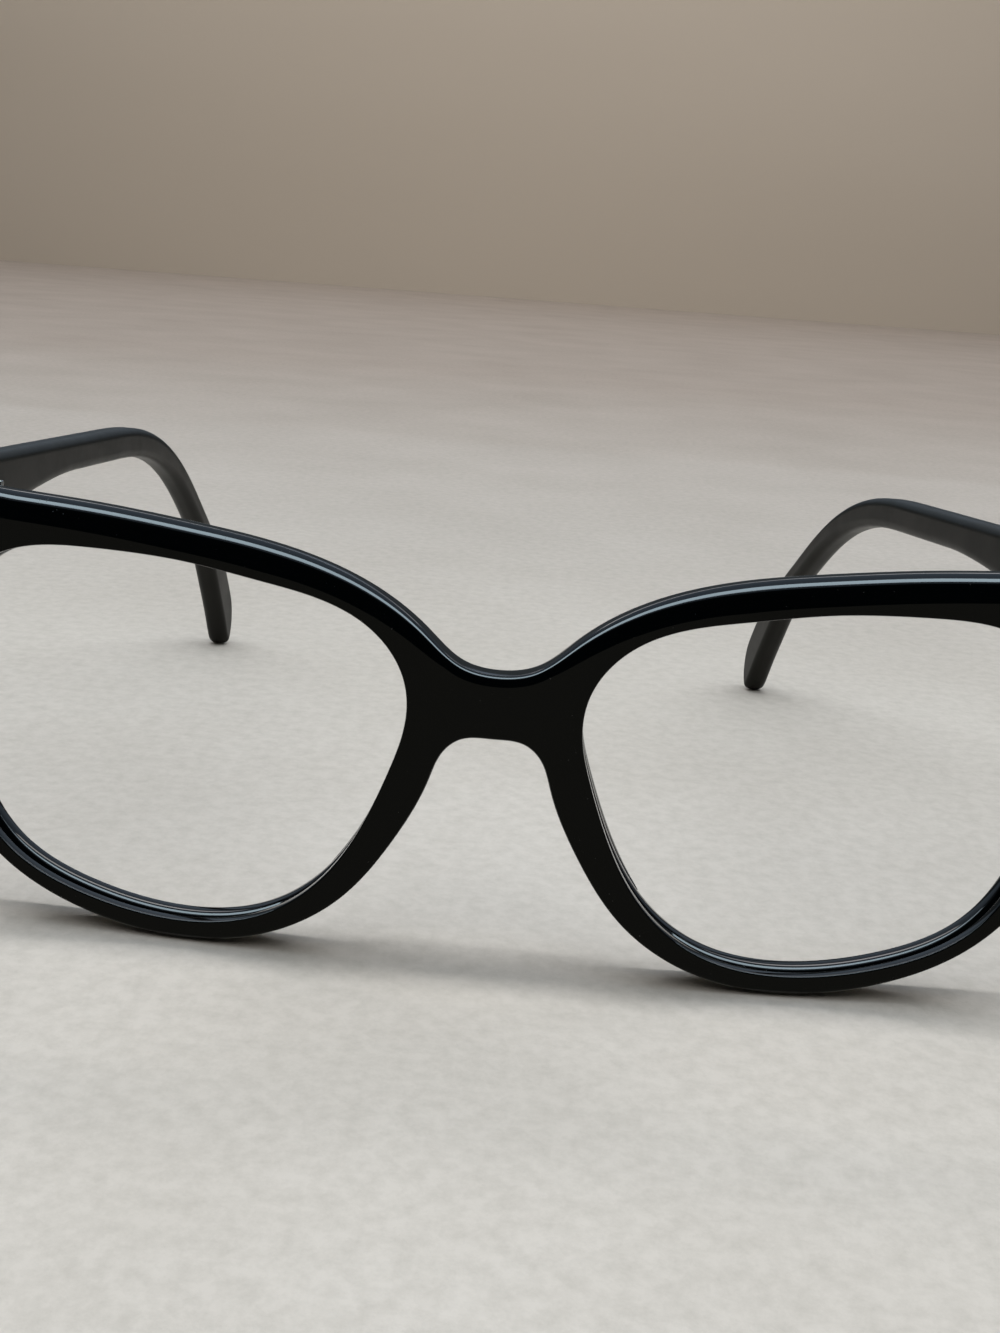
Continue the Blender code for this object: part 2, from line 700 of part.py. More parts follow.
def make_hinge_screw(name, parent):
    top = HINGE_HEIGHT / 2 + KNUCKLE_GAP
    profile = (
        (0.0, top + SCREW_HEAD_HEIGHT),
        (SCREW_HEAD_RADIUS - SCREW_HEAD_HEIGHT / 2, top + SCREW_HEAD_HEIGHT),
        (SCREW_HEAD_RADIUS, top + SCREW_HEAD_HEIGHT / 2),
        (SCREW_HEAD_RADIUS, top),
        (SCREW_RADIUS, top),
        (SCREW_RADIUS, -HINGE_HEIGHT / 2),
        (0.0, -HINGE_HEIGHT / 2),
    )
    screw = turned(profile, ROUND_SIDES, name, SCREW_STEEL, parent)
    reach = SCREW_HEAD_RADIUS + CUT_OVERRUN
    slot_bottom = top + SCREW_HEAD_HEIGHT - SCREW_SLOT_DEPTH
    low = (-reach, -SCREW_SLOT_WIDTH / 2, slot_bottom)
    high = (reach, SCREW_SLOT_WIDTH / 2, top + SCREW_HEAD_HEIGHT + CUT_OVERRUN)
    slot = as_cutter(block(low, high, name + "_slot"), name + "_slot")
    slot.parent = parent
    cut = screw.modifiers.new("slot", "BOOLEAN")
    cut.object = slot
    cut.operation = "DIFFERENCE"
    cut.solver = "EXACT"
    return screw


def make_rivet(name, wall, parent, place, axes):
    """A rivet with its head on the outside of a wall and its tail peened over the leaf behind it."""
    grip = wall + SEAT_GAP + LEAF_THICKNESS
    head = grip + RIVET_CLEARANCE
    tail = -RIVET_CLEARANCE
    shoulder_radius = RIVET_HEAD_RADIUS * RIVET_SHOULDER_WIDTH_SHARE
    profile = (
        (0.0, head + RIVET_HEAD_HEIGHT),
        (RIVET_HEAD_RADIUS / 2, head + RIVET_HEAD_HEIGHT * RIVET_CROWN_SHARE),
        (shoulder_radius, head + RIVET_HEAD_HEIGHT * RIVET_SHOULDER_SHARE),
        (RIVET_HEAD_RADIUS, head),
        (RIVET_RADIUS, head),
        (RIVET_RADIUS, tail),
        (RIVET_TAIL_RADIUS, tail),
        (RIVET_TAIL_RADIUS, tail - RIVET_TAIL_HEIGHT / 2),
        (RIVET_TAIL_RADIUS / 2, tail - RIVET_TAIL_HEIGHT),
        (0.0, tail - RIVET_TAIL_HEIGHT),
    )
    rivet = turned(profile, RIVET_SIDES, name, SCREW_STEEL, parent)
    rivet.location = place
    rivet.rotation_euler = axes.to_euler()
    return rivet


# Temples

def pitch(side_name, length, turn):
    """Downward pitch of the temple's spine at a length from the hinge axis, in the front's axes."""
    share = (length - BEND_START) / BEND_LENGTH
    share = min(max(share, 0.0), 1.0)
    past = max(length - BEND_START - BEND_LENGTH, 0.0)
    return turn * share**2 * (3 - 2 * share) + past / DROP_RADIUS - TEMPLE_RISE[side_name]


def rest_angle(side_name):
    """Angle by which a temple at rest points inwards from straight back."""
    return OPEN_ANGLE + (LEFT_TURNED_IN if side_name == "left" else 0.0)


def rim_drop():
    """Depth of the rims' lowest edge under the front's own origin, as the front leans back."""
    back = FRONT_THICKNESS - EDGE_ROUND + bow(LENS_CENTRE_X)
    return back * math.sin(LEAN_BACK) + EDGE_ROUND * (1 - math.cos(LEAN_BACK))


def hinge_axis(side):
    return hinge_foot(side) + endpiece_axes(side) @ Vector((0.0, HINGE_OFFSET, 0.0))


def height_above_floor(side_name, back, up):
    """Height over the floor of a point in the temple's middle plane, given in the temple's axes."""
    side = SIDES[side_name]
    turn = Matrix.Rotation(side * rest_angle(side_name), 3, "Z")
    out = side * (HINGE_OFFSET + TEMPLE_THICKNESS / 2)
    place = hinge_axis(side) + turn @ Vector((out, back, up))
    return place.z * math.cos(LEAN_BACK) - place.y * math.sin(LEAN_BACK) + rim_drop()


def bent_spine(side_name, turn):
    """Points (back, up, pitch) along the temple, from the hinge axis to where its tip begins to narrow."""
    back = 0.0
    up = SPINE_LEVEL
    points = [(back, up, pitch(side_name, 0.0, turn))]
    for step in range(PATH_STEPS):
        middle = pitch(side_name, (step + 1 / 2) * PATH_STEP, turn)
        back += PATH_STEP * math.cos(middle)
        up -= PATH_STEP * math.sin(middle)
        points.append((back, up, pitch(side_name, (step + 1) * PATH_STEP, turn)))
    return points


def tip_edge(back, up, down):
    """Points (back, up) round the end of a temple whose spine ends at a place and pitch: its upper edge
    sweeps over to the lower one, which runs on almost straight."""
    points = []
    for step in range(1, TIP_STEPS):
        angle = math.pi / 2 - math.pi * step / TIP_STEPS
        ahead = TIP_LENGTH * math.cos(angle)
        aside = TIP_RADIUS * (math.sin(angle) - TIP_SWEEP_SHARE * math.cos(angle) ** 2)
        points.append((
            back + ahead * math.cos(down) + aside * math.sin(down),
            up - ahead * math.sin(down) + aside * math.cos(down),
        ))
    return points


def standing_bend(side_name):
    """The turn at the ear bend that lets this temple's tip stand on the floor with the rims."""
    least = LEAST_BEND
    most = MOST_BEND
    while most - least > LEAST_BEND / PATH_STEPS**2:
        turn = (least + most) / 2
        tip = tip_edge(*bent_spine(side_name, turn)[-1])
        if min(height_above_floor(side_name, back, up) for back, up in tip) > 0:
            least = turn
        else:
            most = turn
    return (least + most) / 2


def spine(side_name):
    return bent_spine(side_name, standing_bend(side_name))


def temple_heights():
    """How far a temple's upper and lower edges lie from its spine, at each point of the spine."""
    length = PATH_STEPS * PATH_STEP
    bend_end = BEND_START + BEND_LENGTH
    places = (0.0, BEND_START, bend_end, length - TIP_RADIUS, length + PATH_STEP)
    heights = (TEMPLE_HEIGHT, TEMPLE_HEIGHT, TEMPLE_BEND_HEIGHT, TEMPLE_TIP_HEIGHT, TEMPLE_TIP_HEIGHT)
    edges = []
    for number in range(PATH_STEPS + 1):
        along = number * PATH_STEP
        slot = max(i for i in range(len(places) - 1) if places[i] <= along)
        share = (along - places[slot]) / (places[slot + 1] - places[slot])
        share = min(share, 1.0)
        eased = share**2 * (3 - 2 * share)
        height = heights[slot] + eased * (heights[slot + 1] - heights[slot])
        flare = max(1 - along / TEMPLE_FLARE_LENGTH, 0.0)
        extra = (TEMPLE_END_HEIGHT - TEMPLE_HEIGHT) * flare**2 * (3 - 2 * flare)
        edges.append((height / 2, height / 2 + extra))
    return edges


def temple_outline(side_name):
    """Closed side view (back, up) of a temple: upper edge, swept tip, lower edge."""
    path = spine(side_name)
    edges = temple_heights()
    upper = []
    lower = []
    for (back, up, down), (above, below) in zip(path, edges):
        normal = (math.sin(down), math.cos(down))
        upper.append((back + above * normal[0], up + above * normal[1]))
        lower.append((back - below * normal[0], up - below * normal[1]))
    tip = tip_edge(*path[-1])
    thin = slice(None, None, OUTLINE_THINNING)
    return upper[:-1][thin] + upper[-1:] + tip + lower[-1:] + list(reversed(lower[:-1][thin]))


def inward(back, reach):
    """How far a temple leans inwards at a distance back. It curves for a stretch, then runs flat."""
    curved = min(max(back - INWARD_START, 0.0), INWARD_LENGTH)
    straight = max(back - INWARD_START - INWARD_LENGTH, 0.0)
    whole = INWARD_LENGTH * (2 * (reach - INWARD_START) - INWARD_LENGTH)
    return TIP_INWARD * (curved**2 + 2 * INWARD_LENGTH * straight) / whole


def middle_line(side_name):
    """Points (back, up) midway between a temple's edges, which its core wire follows."""
    path = spine(side_name)
    edges = temple_heights()
    line = []
    for (back, up, down), (above, below) in zip(path, edges):
        shift = (above - below) / 2
        line.append((back + shift * math.sin(down), up + shift * math.cos(down)))
    return line


def tube(points, radius, name):
    curve = bpy.data.curves.new(name, "CURVE")
    curve.dimensions = "3D"
    curve.bevel_depth = radius
    curve.bevel_resolution = 2
    curve.use_fill_caps = True
    spline = curve.splines.new("POLY")
    spline.points.add(len(points) - 1)
    for point, place in zip(spline.points, points):
        point.co = (*place, 1.0)
    carrier = bpy.data.objects.new(name, curve)
    CUTTERS.objects.link(carrier)
    evaluated = carrier.evaluated_get(bpy.context.evaluated_depsgraph_get())
    mesh = bpy.data.meshes.new_from_object(evaluated)
    bpy.data.objects.remove(carrier, do_unlink=True)
    bm = bmesh.new()
    bm.from_mesh(mesh)
    bmesh.ops.remove_doubles(bm, verts=bm.verts, dist=WELD_DISTANCE)
    return mesh_from(bm, name)


def wire_route(side_name, margin):
    """Evenly spaced places along a temple's middle, from the hinge axis to a margin short of the tip."""
    side = SIDES[side_name]
    line = middle_line(side_name)
    reach = line[-1][0]
    last = len(line) - 1 - int(margin / PATH_STEP)
    route = []
    for number in range(WIRE_POINTS):
        back, up = line[round(last * number / (WIRE_POINTS - 1))]
        out = HINGE_OFFSET + TEMPLE_THICKNESS / 2 - inward(back, reach)
        route.append((side * out, back, up))
    return route


def mitre_front_end(bm, side):
    """Cuts the temple's front end parallel to the endpiece, so that it stops flat against it."""
    tilt = BOW_ANGLE - OPEN_ANGLE
    normal = Vector((-side * math.sin(tilt), math.cos(tilt), 0.0))
    place = -normal * (HINGE_OFFSET - SEAT_GAP)
    geometry = bm.verts[:] + bm.edges[:] + bm.faces[:]
    cut = bmesh.ops.bisect_plane(bm, geom=geometry, plane_co=place, plane_no=normal, clear_inner=True)
    rim = [item for item in cut["geom_cut"] if isinstance(item, bmesh.types.BMEdge)]
    bmesh.ops.holes_fill(bm, edges=rim)


def temple_mesh(side_name):
    side = SIDES[side_name]
    outline = temple_outline(side_name)
    lead = [(back - HINGE_OFFSET - CUT_OVERRUN, up) for back, up in (outline[-1], outline[0])]
    name = f"{side_name}_temple"
    bm = plate([outline + lead], TEMPLE_THICKNESS, name)
    bmesh.ops.rotate(bm, verts=bm.verts, matrix=Matrix.Rotation(math.pi / 2, 3, "Z"))
    bmesh.ops.translate(bm, verts=bm.verts, vec=(side * (HINGE_OFFSET + TEMPLE_THICKNESS / 2), 0.0, 0.0))
    merge_cheeks(bm, 0)
    mitre_front_end(bm, side)
    bmesh.ops.recalc_face_normals(bm, faces=bm.faces)
    corners = [edge for edge in bm.edges if edge.calc_face_angle() > math.pi / 4]
    bmesh.ops.bevel(bm, geom=corners, offset=TEMPLE_EDGE_ROUND, segments=3, affect="EDGES", profile=0.5)
    for step in range(INWARD_STEPS + 1):
        place = (0.0, INWARD_START + INWARD_LENGTH * step / INWARD_STEPS, 0.0)
        geometry = bm.verts[:] + bm.edges[:] + bm.faces[:]
        bmesh.ops.bisect_plane(bm, geom=geometry, plane_co=place, plane_no=(0.0, 1.0, 0.0))
    reach = middle_line(side_name)[-1][0]
    for vertex in bm.verts:
        vertex.co.x -= side * inward(vertex.co.y, reach)
    mesh = mesh_from(bm, name)
    route = wire_route(side_name, WIRE_TIP_MARGIN - SEAT_GAP)
    start = Vector(route[0]) + (Vector(route[0]) - Vector(route[1])).normalized() * WIRE_TIP_MARGIN
    channel = tube([tuple(start)] + route, WIRE_CHANNEL_RADIUS, "wire_channel")
    turn = Matrix.Rotation(math.pi / 2, 3, "Z")
    holes = [channel]
    for level in rivet_levels():
        place = Vector((side * HINGE_OFFSET, RIVET_FROM_AXIS, level))
        holes.append(rivet_hole(place, turn, TEMPLE_THICKNESS + CUT_OVERRUN))
    return boolean(mesh, holes, "DIFFERENCE")


def make_core_wire(name, side_name, parent):
    mesh = tube(wire_route(side_name, WIRE_TIP_MARGIN), WIRE_RADIUS, name)
    return add_object(name, shade_round(mesh), WIRE_METAL, parent)


# Assembly

def make_side(side_name, stand):
    side = SIDES[side_name]
    axis = hinge_axis(side)
    fixed = add_empty(f"{side_name}_hinge_front_axes", axis, (0.0, 0.0, side * BOW_ANGLE), stand)
    turning = add_empty(f"{side_name}_hinge_axis", axis, (0.0, 0.0, side * rest_angle(side_name)), stand)

    make_nose_pad(f"{side_name}_nose_pad", side, stand)
    make_front_leaf(f"{side_name}_front_hinge_leaf", side, fixed)
    make_hinge_screw(f"{side_name}_hinge_screw", fixed)
    rear = -(HINGE_OFFSET - SEAT_GAP) + LEAF_THICKNESS
    for label, level in zip(("lower", "upper"), rivet_levels()):
        name = f"{side_name}_front_rivet_{label}"
        place = (-side * RIVET_FROM_AXIS, rear, level)
        make_rivet(name, FRONT_THICKNESS, fixed, place, Matrix.Rotation(math.pi / 2, 3, "X"))

    add_object(f"{side_name}_temple", shade_round(temple_mesh(side_name)), BLACK_ACETATE, turning)
    make_core_wire(f"{side_name}_temple_core_wire", side_name, turning)
    make_temple_leaf(f"{side_name}_temple_hinge_leaf", side, turning)
    inner = HINGE_OFFSET - SEAT_GAP - LEAF_THICKNESS
    for label, level in zip(("lower", "upper"), rivet_levels()):
        name = f"{side_name}_temple_rivet_{label}"
        place = (side * inner, RIVET_FROM_AXIS, level)
        make_rivet(name, TEMPLE_THICKNESS, turning, place, Matrix.Rotation(side * math.pi / 2, 3, "Y"))


def settle_on_floor(stand):
    """Moves the frame so that its lowest point is at Z = 0 and its box is centred on the origin."""
    bpy.context.view_layer.update()
    graph = bpy.context.evaluated_depsgraph_get()
    corners = []
    for thing in PARTS.objects:
        if thing.type == "MESH":
            evaluated = thing.evaluated_get(graph)
            corners += [evaluated.matrix_world @ vertex.co for vertex in evaluated.data.vertices]
    low = Vector([min(corner[i] for corner in corners) for i in range(3)])
    high = Vector([max(corner[i] for corner in corners) for i in range(3)])
    middle = (low + high) / 2
    stand.location -= Vector((middle.x, middle.y, low.z))
    bpy.context.view_layer.update()


stand = add_empty("stand", (0.0, 0.0, rim_drop()), (-LEAN_BACK, 0.0, 0.0), None)
make_front(stand)
for side_name in SIDES:
    make_side(side_name, stand)
settle_on_floor(stand)
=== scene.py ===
import math

import bmesh
import bpy
import numpy as np
from mathutils import Matrix, Vector


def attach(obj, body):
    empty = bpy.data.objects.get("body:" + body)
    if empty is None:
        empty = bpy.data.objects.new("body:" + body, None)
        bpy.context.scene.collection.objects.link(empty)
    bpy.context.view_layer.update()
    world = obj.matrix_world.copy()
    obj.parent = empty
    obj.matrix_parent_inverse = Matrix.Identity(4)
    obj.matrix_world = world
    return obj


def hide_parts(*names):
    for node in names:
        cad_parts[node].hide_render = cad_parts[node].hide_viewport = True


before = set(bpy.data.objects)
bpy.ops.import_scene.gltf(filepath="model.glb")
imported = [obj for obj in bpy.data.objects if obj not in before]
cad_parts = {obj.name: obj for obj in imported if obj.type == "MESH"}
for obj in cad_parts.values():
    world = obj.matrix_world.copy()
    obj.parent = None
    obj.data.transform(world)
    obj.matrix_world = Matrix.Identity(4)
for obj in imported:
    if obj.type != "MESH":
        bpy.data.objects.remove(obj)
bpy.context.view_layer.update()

scene = bpy.context.scene
scene.view_settings.view_transform = "Standard"


# Camera
# The spectacles are seen from a hand's breadth and a half in front, from a little above, with the view
# rolled by a few degrees, so that the brow runs down towards the wearer's left. Both ends are cut off.
camera_turn = -0.0440628
camera_tilt = 0.2699483
camera_roll = 0.0746127
camera_place = (0.0070056, -0.2172276, 0.0774784)
looking = Vector((
    math.sin(camera_turn) * math.cos(camera_tilt),
    math.cos(camera_turn) * math.cos(camera_tilt),
    -math.sin(camera_tilt),
))
level = Vector((math.cos(camera_turn), -math.sin(camera_turn), 0.0))
upright = level.cross(looking)
across = level * math.cos(camera_roll) + upright * math.sin(camera_roll)
upward = upright * math.cos(camera_roll) - level * math.sin(camera_roll)
bpy.ops.object.camera_add()
camera = bpy.context.object
turn_to_view = Matrix((across, upward, -looking)).transposed().to_4x4()
camera.matrix_world = Matrix.Translation(camera_place) @ turn_to_view
camera.data.lens = 40.86
camera.data.sensor_width = 36.0
camera.data.clip_start = 0.005
scene.camera = camera


# Floor and backdrop
# A pale, dry, slightly mottled floor, its colour darkened towards the back as painted shade, with a plain
# warm grey wall far behind it. Neither is part of the spectacles: they carry the soft shadow and give the
# black acetate something to mirror.
def node_material(name):
    """A new material, with its nodes, their links and its shader."""
    material = bpy.data.materials.new(name)
    material.use_nodes = True
    nodes = material.node_tree.nodes
    return material, nodes, material.node_tree.links, nodes["Principled BSDF"]


def noise(nodes, links, scale, detail, roughness, vector):
    """A noise texture read on the given coordinates."""
    texture = nodes.new("ShaderNodeTexNoise")
    texture.inputs["Scale"].default_value = scale
    texture.inputs["Detail"].default_value = detail
    texture.inputs["Roughness"].default_value = roughness
    links.new(vector, texture.inputs["Vector"])
    return texture.outputs["Fac"]


def ramp(nodes, links, value, stops):
    """A colour ramp with stops of (place, colour)."""
    made = nodes.new("ShaderNodeValToRGB")
    elements = made.color_ramp.elements
    while len(elements) < len(stops):
        elements.new(0.5)
    for element, (place, colour) in zip(elements, stops):
        element.position = place
        element.color = (*colour, 1.0)
    links.new(value, made.inputs["Fac"])
    return made.outputs["Color"]


def mixed(nodes, links, blend, factor, one, two):
    """Two colours mixed; each of the last three values is a socket or a constant."""
    made = nodes.new("ShaderNodeMix")
    made.data_type = "RGBA"
    made.blend_type = blend
    for name, given in (("Factor", factor), ("A", one), ("B", two)):
        if isinstance(given, bpy.types.NodeSocket):
            links.new(given, made.inputs[name])
        else:
            made.inputs[name].default_value = given
    return made.outputs["Result"]


def bumped(nodes, links, shader, height, strength, distance):
    """A bump of the given height texture on the shader's normal."""
    bump = nodes.new("ShaderNodeBump")
    bump.inputs["Strength"].default_value = strength
    bump.inputs["Distance"].default_value = distance
    links.new(height, bump.inputs["Height"])
    links.new(bump.outputs["Normal"], shader.inputs["Normal"])


floor_stuff, nodes, links, shader = node_material("pale_floor")
places = nodes.new("ShaderNodeTexCoord").outputs["Object"]
broad = noise(nodes, links, 14.0, 6.0, 0.6, places)
mottle = ramp(nodes, links, broad, ((0.30, (0.575, 0.540, 0.487)), (0.70, (0.650, 0.616, 0.563))))
fine = noise(nodes, links, 420.0, 4.0, 0.7, places)
grain = ramp(nodes, links, fine, ((0.30, (0.86, 0.86, 0.85)), (0.62, (1.0, 1.0, 1.0))))
# Painted shade: from just in front of the spectacles the floor's colour darkens towards the back, standing
# in for the fall of the light
parted = nodes.new("ShaderNodeSeparateXYZ")
links.new(places, parted.inputs["Vector"])
behind = nodes.new("ShaderNodeMath")
painted_shade_start = 0.10
behind.inputs[1].default_value = painted_shade_start
links.new(parted.outputs["Y"], behind.inputs[0])
distance = ramp(nodes, links, behind.outputs["Value"], (
    (0.00, (1.0, 1.0, 1.0)),
    (0.08, (0.91, 0.91, 0.91)),
    (0.15, (0.87, 0.87, 0.865)),
    (0.30, (0.76, 0.75, 0.745)),
    (0.85, (0.68, 0.62, 0.59)),
))
grained = mixed(nodes, links, "MULTIPLY", 1.0, mottle, grain)
links.new(mixed(nodes, links, "MULTIPLY", 1.0, grained, distance), shader.inputs["Base Color"])
shader.inputs["Roughness"].default_value = 0.85
bumped(nodes, links, shader, fine, 0.25, 0.0004)
room_width = 9.0
bpy.ops.object.select_all(action="DESELECT")
bpy.ops.mesh.primitive_plane_add(size=room_width)
floor = bpy.context.object
floor.name = "floor"
floor.data.materials.append(floor_stuff)

wall_stuff, nodes, links, shader = node_material("warm_grey_wall")
places = nodes.new("ShaderNodeTexCoord").outputs["Object"]
wash = noise(nodes, links, 3.0, 3.0, 0.5, places)
tone = ramp(nodes, links, wash, ((0.3, (0.600, 0.535, 0.445)), (0.7, (0.655, 0.590, 0.500))))
links.new(tone, shader.inputs["Base Color"])
shader.inputs["Roughness"].default_value = 0.9
wall_back = 2.25
wall_height = 2.0
bpy.ops.object.select_all(action="DESELECT")
bpy.ops.mesh.primitive_plane_add(
    size=1.0, location=(0.0, wall_back, wall_height / 2), rotation=(math.pi / 2, 0.0, -camera_turn))
wall = bpy.context.object
wall.name = "wall"
wall.scale = (room_width, wall_height, 1.0)
wall.data.materials.append(wall_stuff)


# Light
# Soft daylight from a long window overhead draws the thin bright line along the brow, and the bluish sky
# behind is mirrored inside the rims. The space in front stays dim, so that the black front stays black.
def soft_light(name, place, target, width, height, power, colour):
    """A rectangular lamp at a place, turned to a target."""
    bpy.ops.object.light_add(type="AREA", location=place)
    lamp = bpy.context.object
    lamp.name = name
    lamp.data.shape = "RECTANGLE"
    lamp.data.size = width
    lamp.data.size_y = height
    lamp.data.energy = power
    lamp.data.color = colour
    lamp.rotation_euler = (Vector(target) - Vector(place)).to_track_quat("-Z", "Y").to_euler()
    return lamp


window = soft_light("window", (0.0, -0.080, 1.0), (0.0, -0.080, 0.0), 2.4, 0.26, 16.0, (0.72, 0.90, 1.0))
window.visible_diffuse = False
daylight = soft_light("daylight", (0.0, 0.10, 1.0), (0.0, 0.02, 0.0), 2.0, 0.12, 8.6, (1.0, 1.0, 1.0))
daylight.visible_glossy = False
near_fill = soft_light("near_fill", (0.0, -0.45, 0.9), (0.0, -0.15, 0.0), 1.4, 0.9, 3.6, (1.0, 0.97, 0.92))
near_fill.visible_glossy = False
soft_light("wall_light", (0.0, 1.35, 1.5), (0.0, 1.75, 0.2), 2.4, 0.6, 17.5, (1.0, 0.95, 0.92))

# Glowing cards that the gloss mirrors and nothing else sees, as are set up for black goods, all painted
# reflections: dim ones in front as painted shade of the floor there, dim ones on the far floor and at the
# horizon, and a brighter one of pale blue behind as a painted sky
for name, place, tilt, size, colour, glow in (
    ("card_on_floor", (0.0, -0.334, 0.0008), 0.0, (1.2, 0.556), (1.0, 1.0, 0.86), 0.130),
    ("card_low", (0.0, -0.165, 0.0225), math.pi / 2, (0.9, 0.045), (1.0, 1.0, 0.86), 0.130),
    ("card_high", (0.0, -0.165, 0.2100), math.pi / 2, (0.9, 0.330), (0.35, 0.75, 1.0), 0.016),
    ("card_far", (0.0, 1.14, 0.0009), 0.0, (9.0, 1.48), (0.80, 0.90, 1.0), 0.070),
    ("card_horizon", (0.0, 1.89, 0.175), math.pi / 2, (9.0, 0.35), (0.80, 0.92, 1.0), 0.080),
    ("card_behind", (0.0, 1.90, 1.30), math.pi / 2, (9.0, 1.90), (0.66, 0.82, 1.0), 0.440),
):
    bpy.ops.object.select_all(action="DESELECT")
    bpy.ops.mesh.primitive_plane_add(size=1.0, location=place, rotation=(tilt, 0.0, 0.0))
    card = bpy.context.object
    card.name = name
    card.scale = (*size, 1.0)
    card_stuff, nodes, links, shader = node_material(name)
    shader.inputs["Base Color"].default_value = (0.0, 0.0, 0.0, 1.0)
    shader.inputs["Specular IOR Level"].default_value = 0.0
    shader.inputs["Emission Color"].default_value = (*colour, 1.0)
    shader.inputs["Emission Strength"].default_value = glow
    card.data.materials.append(card_stuff)
    card.visible_camera = False
    card.visible_diffuse = False
    card.visible_shadow = False
    card.visible_transmission = False

world = bpy.data.worlds.new("studio")
scene.world = world
world.use_nodes = True
nodes = world.node_tree.nodes
links = world.node_tree.links
background = nodes["Background"]
directions = nodes.new("ShaderNodeTexCoord").outputs["Generated"]
turned = nodes.new("ShaderNodeVectorMath")
turned.operation = "DOT_PRODUCT"
turned.inputs[1].default_value = (0.0, 0.55, 0.835)
links.new(directions, turned.inputs[0])
sky = ramp(nodes, links, turned.outputs["Value"], (
    (0.00, (0.030, 0.029, 0.027)),
    (0.25, (0.045, 0.047, 0.050)),
    (0.60, (0.20, 0.24, 0.29)),
    (0.90, (0.42, 0.54, 0.68)),
))
seen = nodes.new("ShaderNodeLightPath").outputs["Is Camera Ray"]
links.new(mixed(nodes, links, "MIX", seen, sky, (0.34, 0.315, 0.28, 1.0)), background.inputs["Color"])


# Front
# One plate of black acetate, milled to its outline, with the lens openings cut and grooved, the brow
# bevelled, the edges tumbled round, and the whole warmed and bowed lightly to fit round the face.
lens_width = 0.0508
lens_height = 0.0405
lens_distance = 0.0195
front_thickness = 0.0050
bow_radius = 0.500
bowed_half_span = 0.055
endpiece_reach = 0.00915
bridge_top = 0.0330
bridge_underside = 0.0260
lowest_rim = 0.0021
lean_back = math.radians(4.95)
opening_shares = (
    0.99, 1.075, 1.24, 1.095, 0.988, 0.988, 1.088, 1.08,
    0.96, 0.92, 0.965, 1.015, 1.0, 0.99, 1.01, 0.985,
)
brow_rim = ((6, 0.0035), (5, 0.0040), (4, 0.0040), (3, 0.0047), (2.5, 0.0057))
lower_rim = (
    (1, 0.0042), (0, 0.0032), (-1, 0.0024), (-2, 0.0017), (-3, 0.00195),
    (-4, 0.0021), (-5, 0.0023), (-6, 0.0031), (-7, 0.0038), (-8, 0.0044),
)
saddle_shares = ((0.0, 0.0), (0.205, 0.11), (0.41, 0.56))
arch_shares = ((0.27, -0.26), (0.18, -0.05), (0.0, 0.0))
endpiece_shares = (
    (1.0, 0.13), (0.45, 0.01), (0.09, 0.05), (0.0, 0.30),
    (0.06, 0.62), (0.30, 0.95), (0.55, 1.35),
)
endpiece_top = 0.0503
endpiece_height = 0.0105
endpiece_length = 0.0090
front_half_width = lens_distance / 2 + lens_width + endpiece_reach
lens_centre = (lens_distance / 2 + lens_width / 2, lowest_rim + lens_height / 2)
opening_points = len(opening_shares)
outline_steps = 14
opening_steps = 288
stand_back = -0.0651411
stand_up = 0.0005359
frame_place = Matrix.Translation((0.0, stand_back, stand_up)) @ Matrix.Rotation(-lean_back, 4, "X")


def smooth_loop(points, steps):
    """A closed curve of even curvature through the points, with the given steps between them."""
    points = np.array(points)
    count = len(points)
    ahead = np.roll(points, -1, axis=0)
    spans = np.linalg.norm(ahead - points, axis=1)
    behind_spans = np.roll(spans, 1)
    rates = (ahead - points) / spans[:, None]
    system = np.zeros((count, count))
    for i in range(count):
        system[i, i - 1] = spans[i]
        system[i, i] = 2 * (spans[i] + behind_spans[i])
        system[i, (i + 1) % count] = behind_spans[i]
    target = 3 * (spans[:, None] * np.roll(rates, 1, axis=0) + behind_spans[:, None] * rates)
    slopes = np.linalg.solve(system, target)
    loop = []
    for i in range(count):
        j = (i + 1) % count
        for share in np.arange(steps) / steps:
            start = (1 + 2 * share) * (1 - share) ** 2 * points[i]
            end = share**2 * (3 - 2 * share) * points[j]
            lead = share * (1 - share) ** 2 * spans[i] * slopes[i]
            trail = share**2 * (share - 1) * spans[i] * slopes[j]
            loop.append(start + end + lead + trail)
    return np.array(loop)


def smooth_cycle(values):
    """A function of a turn from 0 to 1 that passes evenly through values spaced round the turn."""
    count = len(values)
    values = np.array(values)
    system = 4 * np.eye(count) + np.roll(np.eye(count), 1, axis=0) + np.roll(np.eye(count), -1, axis=0)
    slopes = np.linalg.solve(system, 3 * (np.roll(values, -1) - np.roll(values, 1)))

    def at(turn):
        place = (turn % 1.0) * count
        i = int(place) % count
        j = (i + 1) % count
        share = place - int(place)
        start = (1 + 2 * share) * (1 - share) ** 2 * values[i]
        end = share**2 * (3 - 2 * share) * values[j]
        lead = share * (1 - share) ** 2 * slopes[i]
        trail = share**2 * (share - 1) * slopes[j]
        return start + end + lead + trail

    return at


opening_share = smooth_cycle(opening_shares)


def opening_point(turn, out=0.0):
    """A point (x, z) on the wearer's left opening, moved out into the rim by a distance."""
    def plain(where):
        share = opening_share(where)
        angle = math.tau * where
        return np.array([
            lens_centre[0] + share * lens_width / 2 * math.cos(angle),
            lens_centre[1] + share * lens_height / 2 * math.sin(angle),
        ])

    nudge = 0.0002
    along = plain(turn + nudge) - plain(turn - nudge)
    along /= np.linalg.norm(along)
    return plain(turn) + out * np.array([along[1], -along[0]])


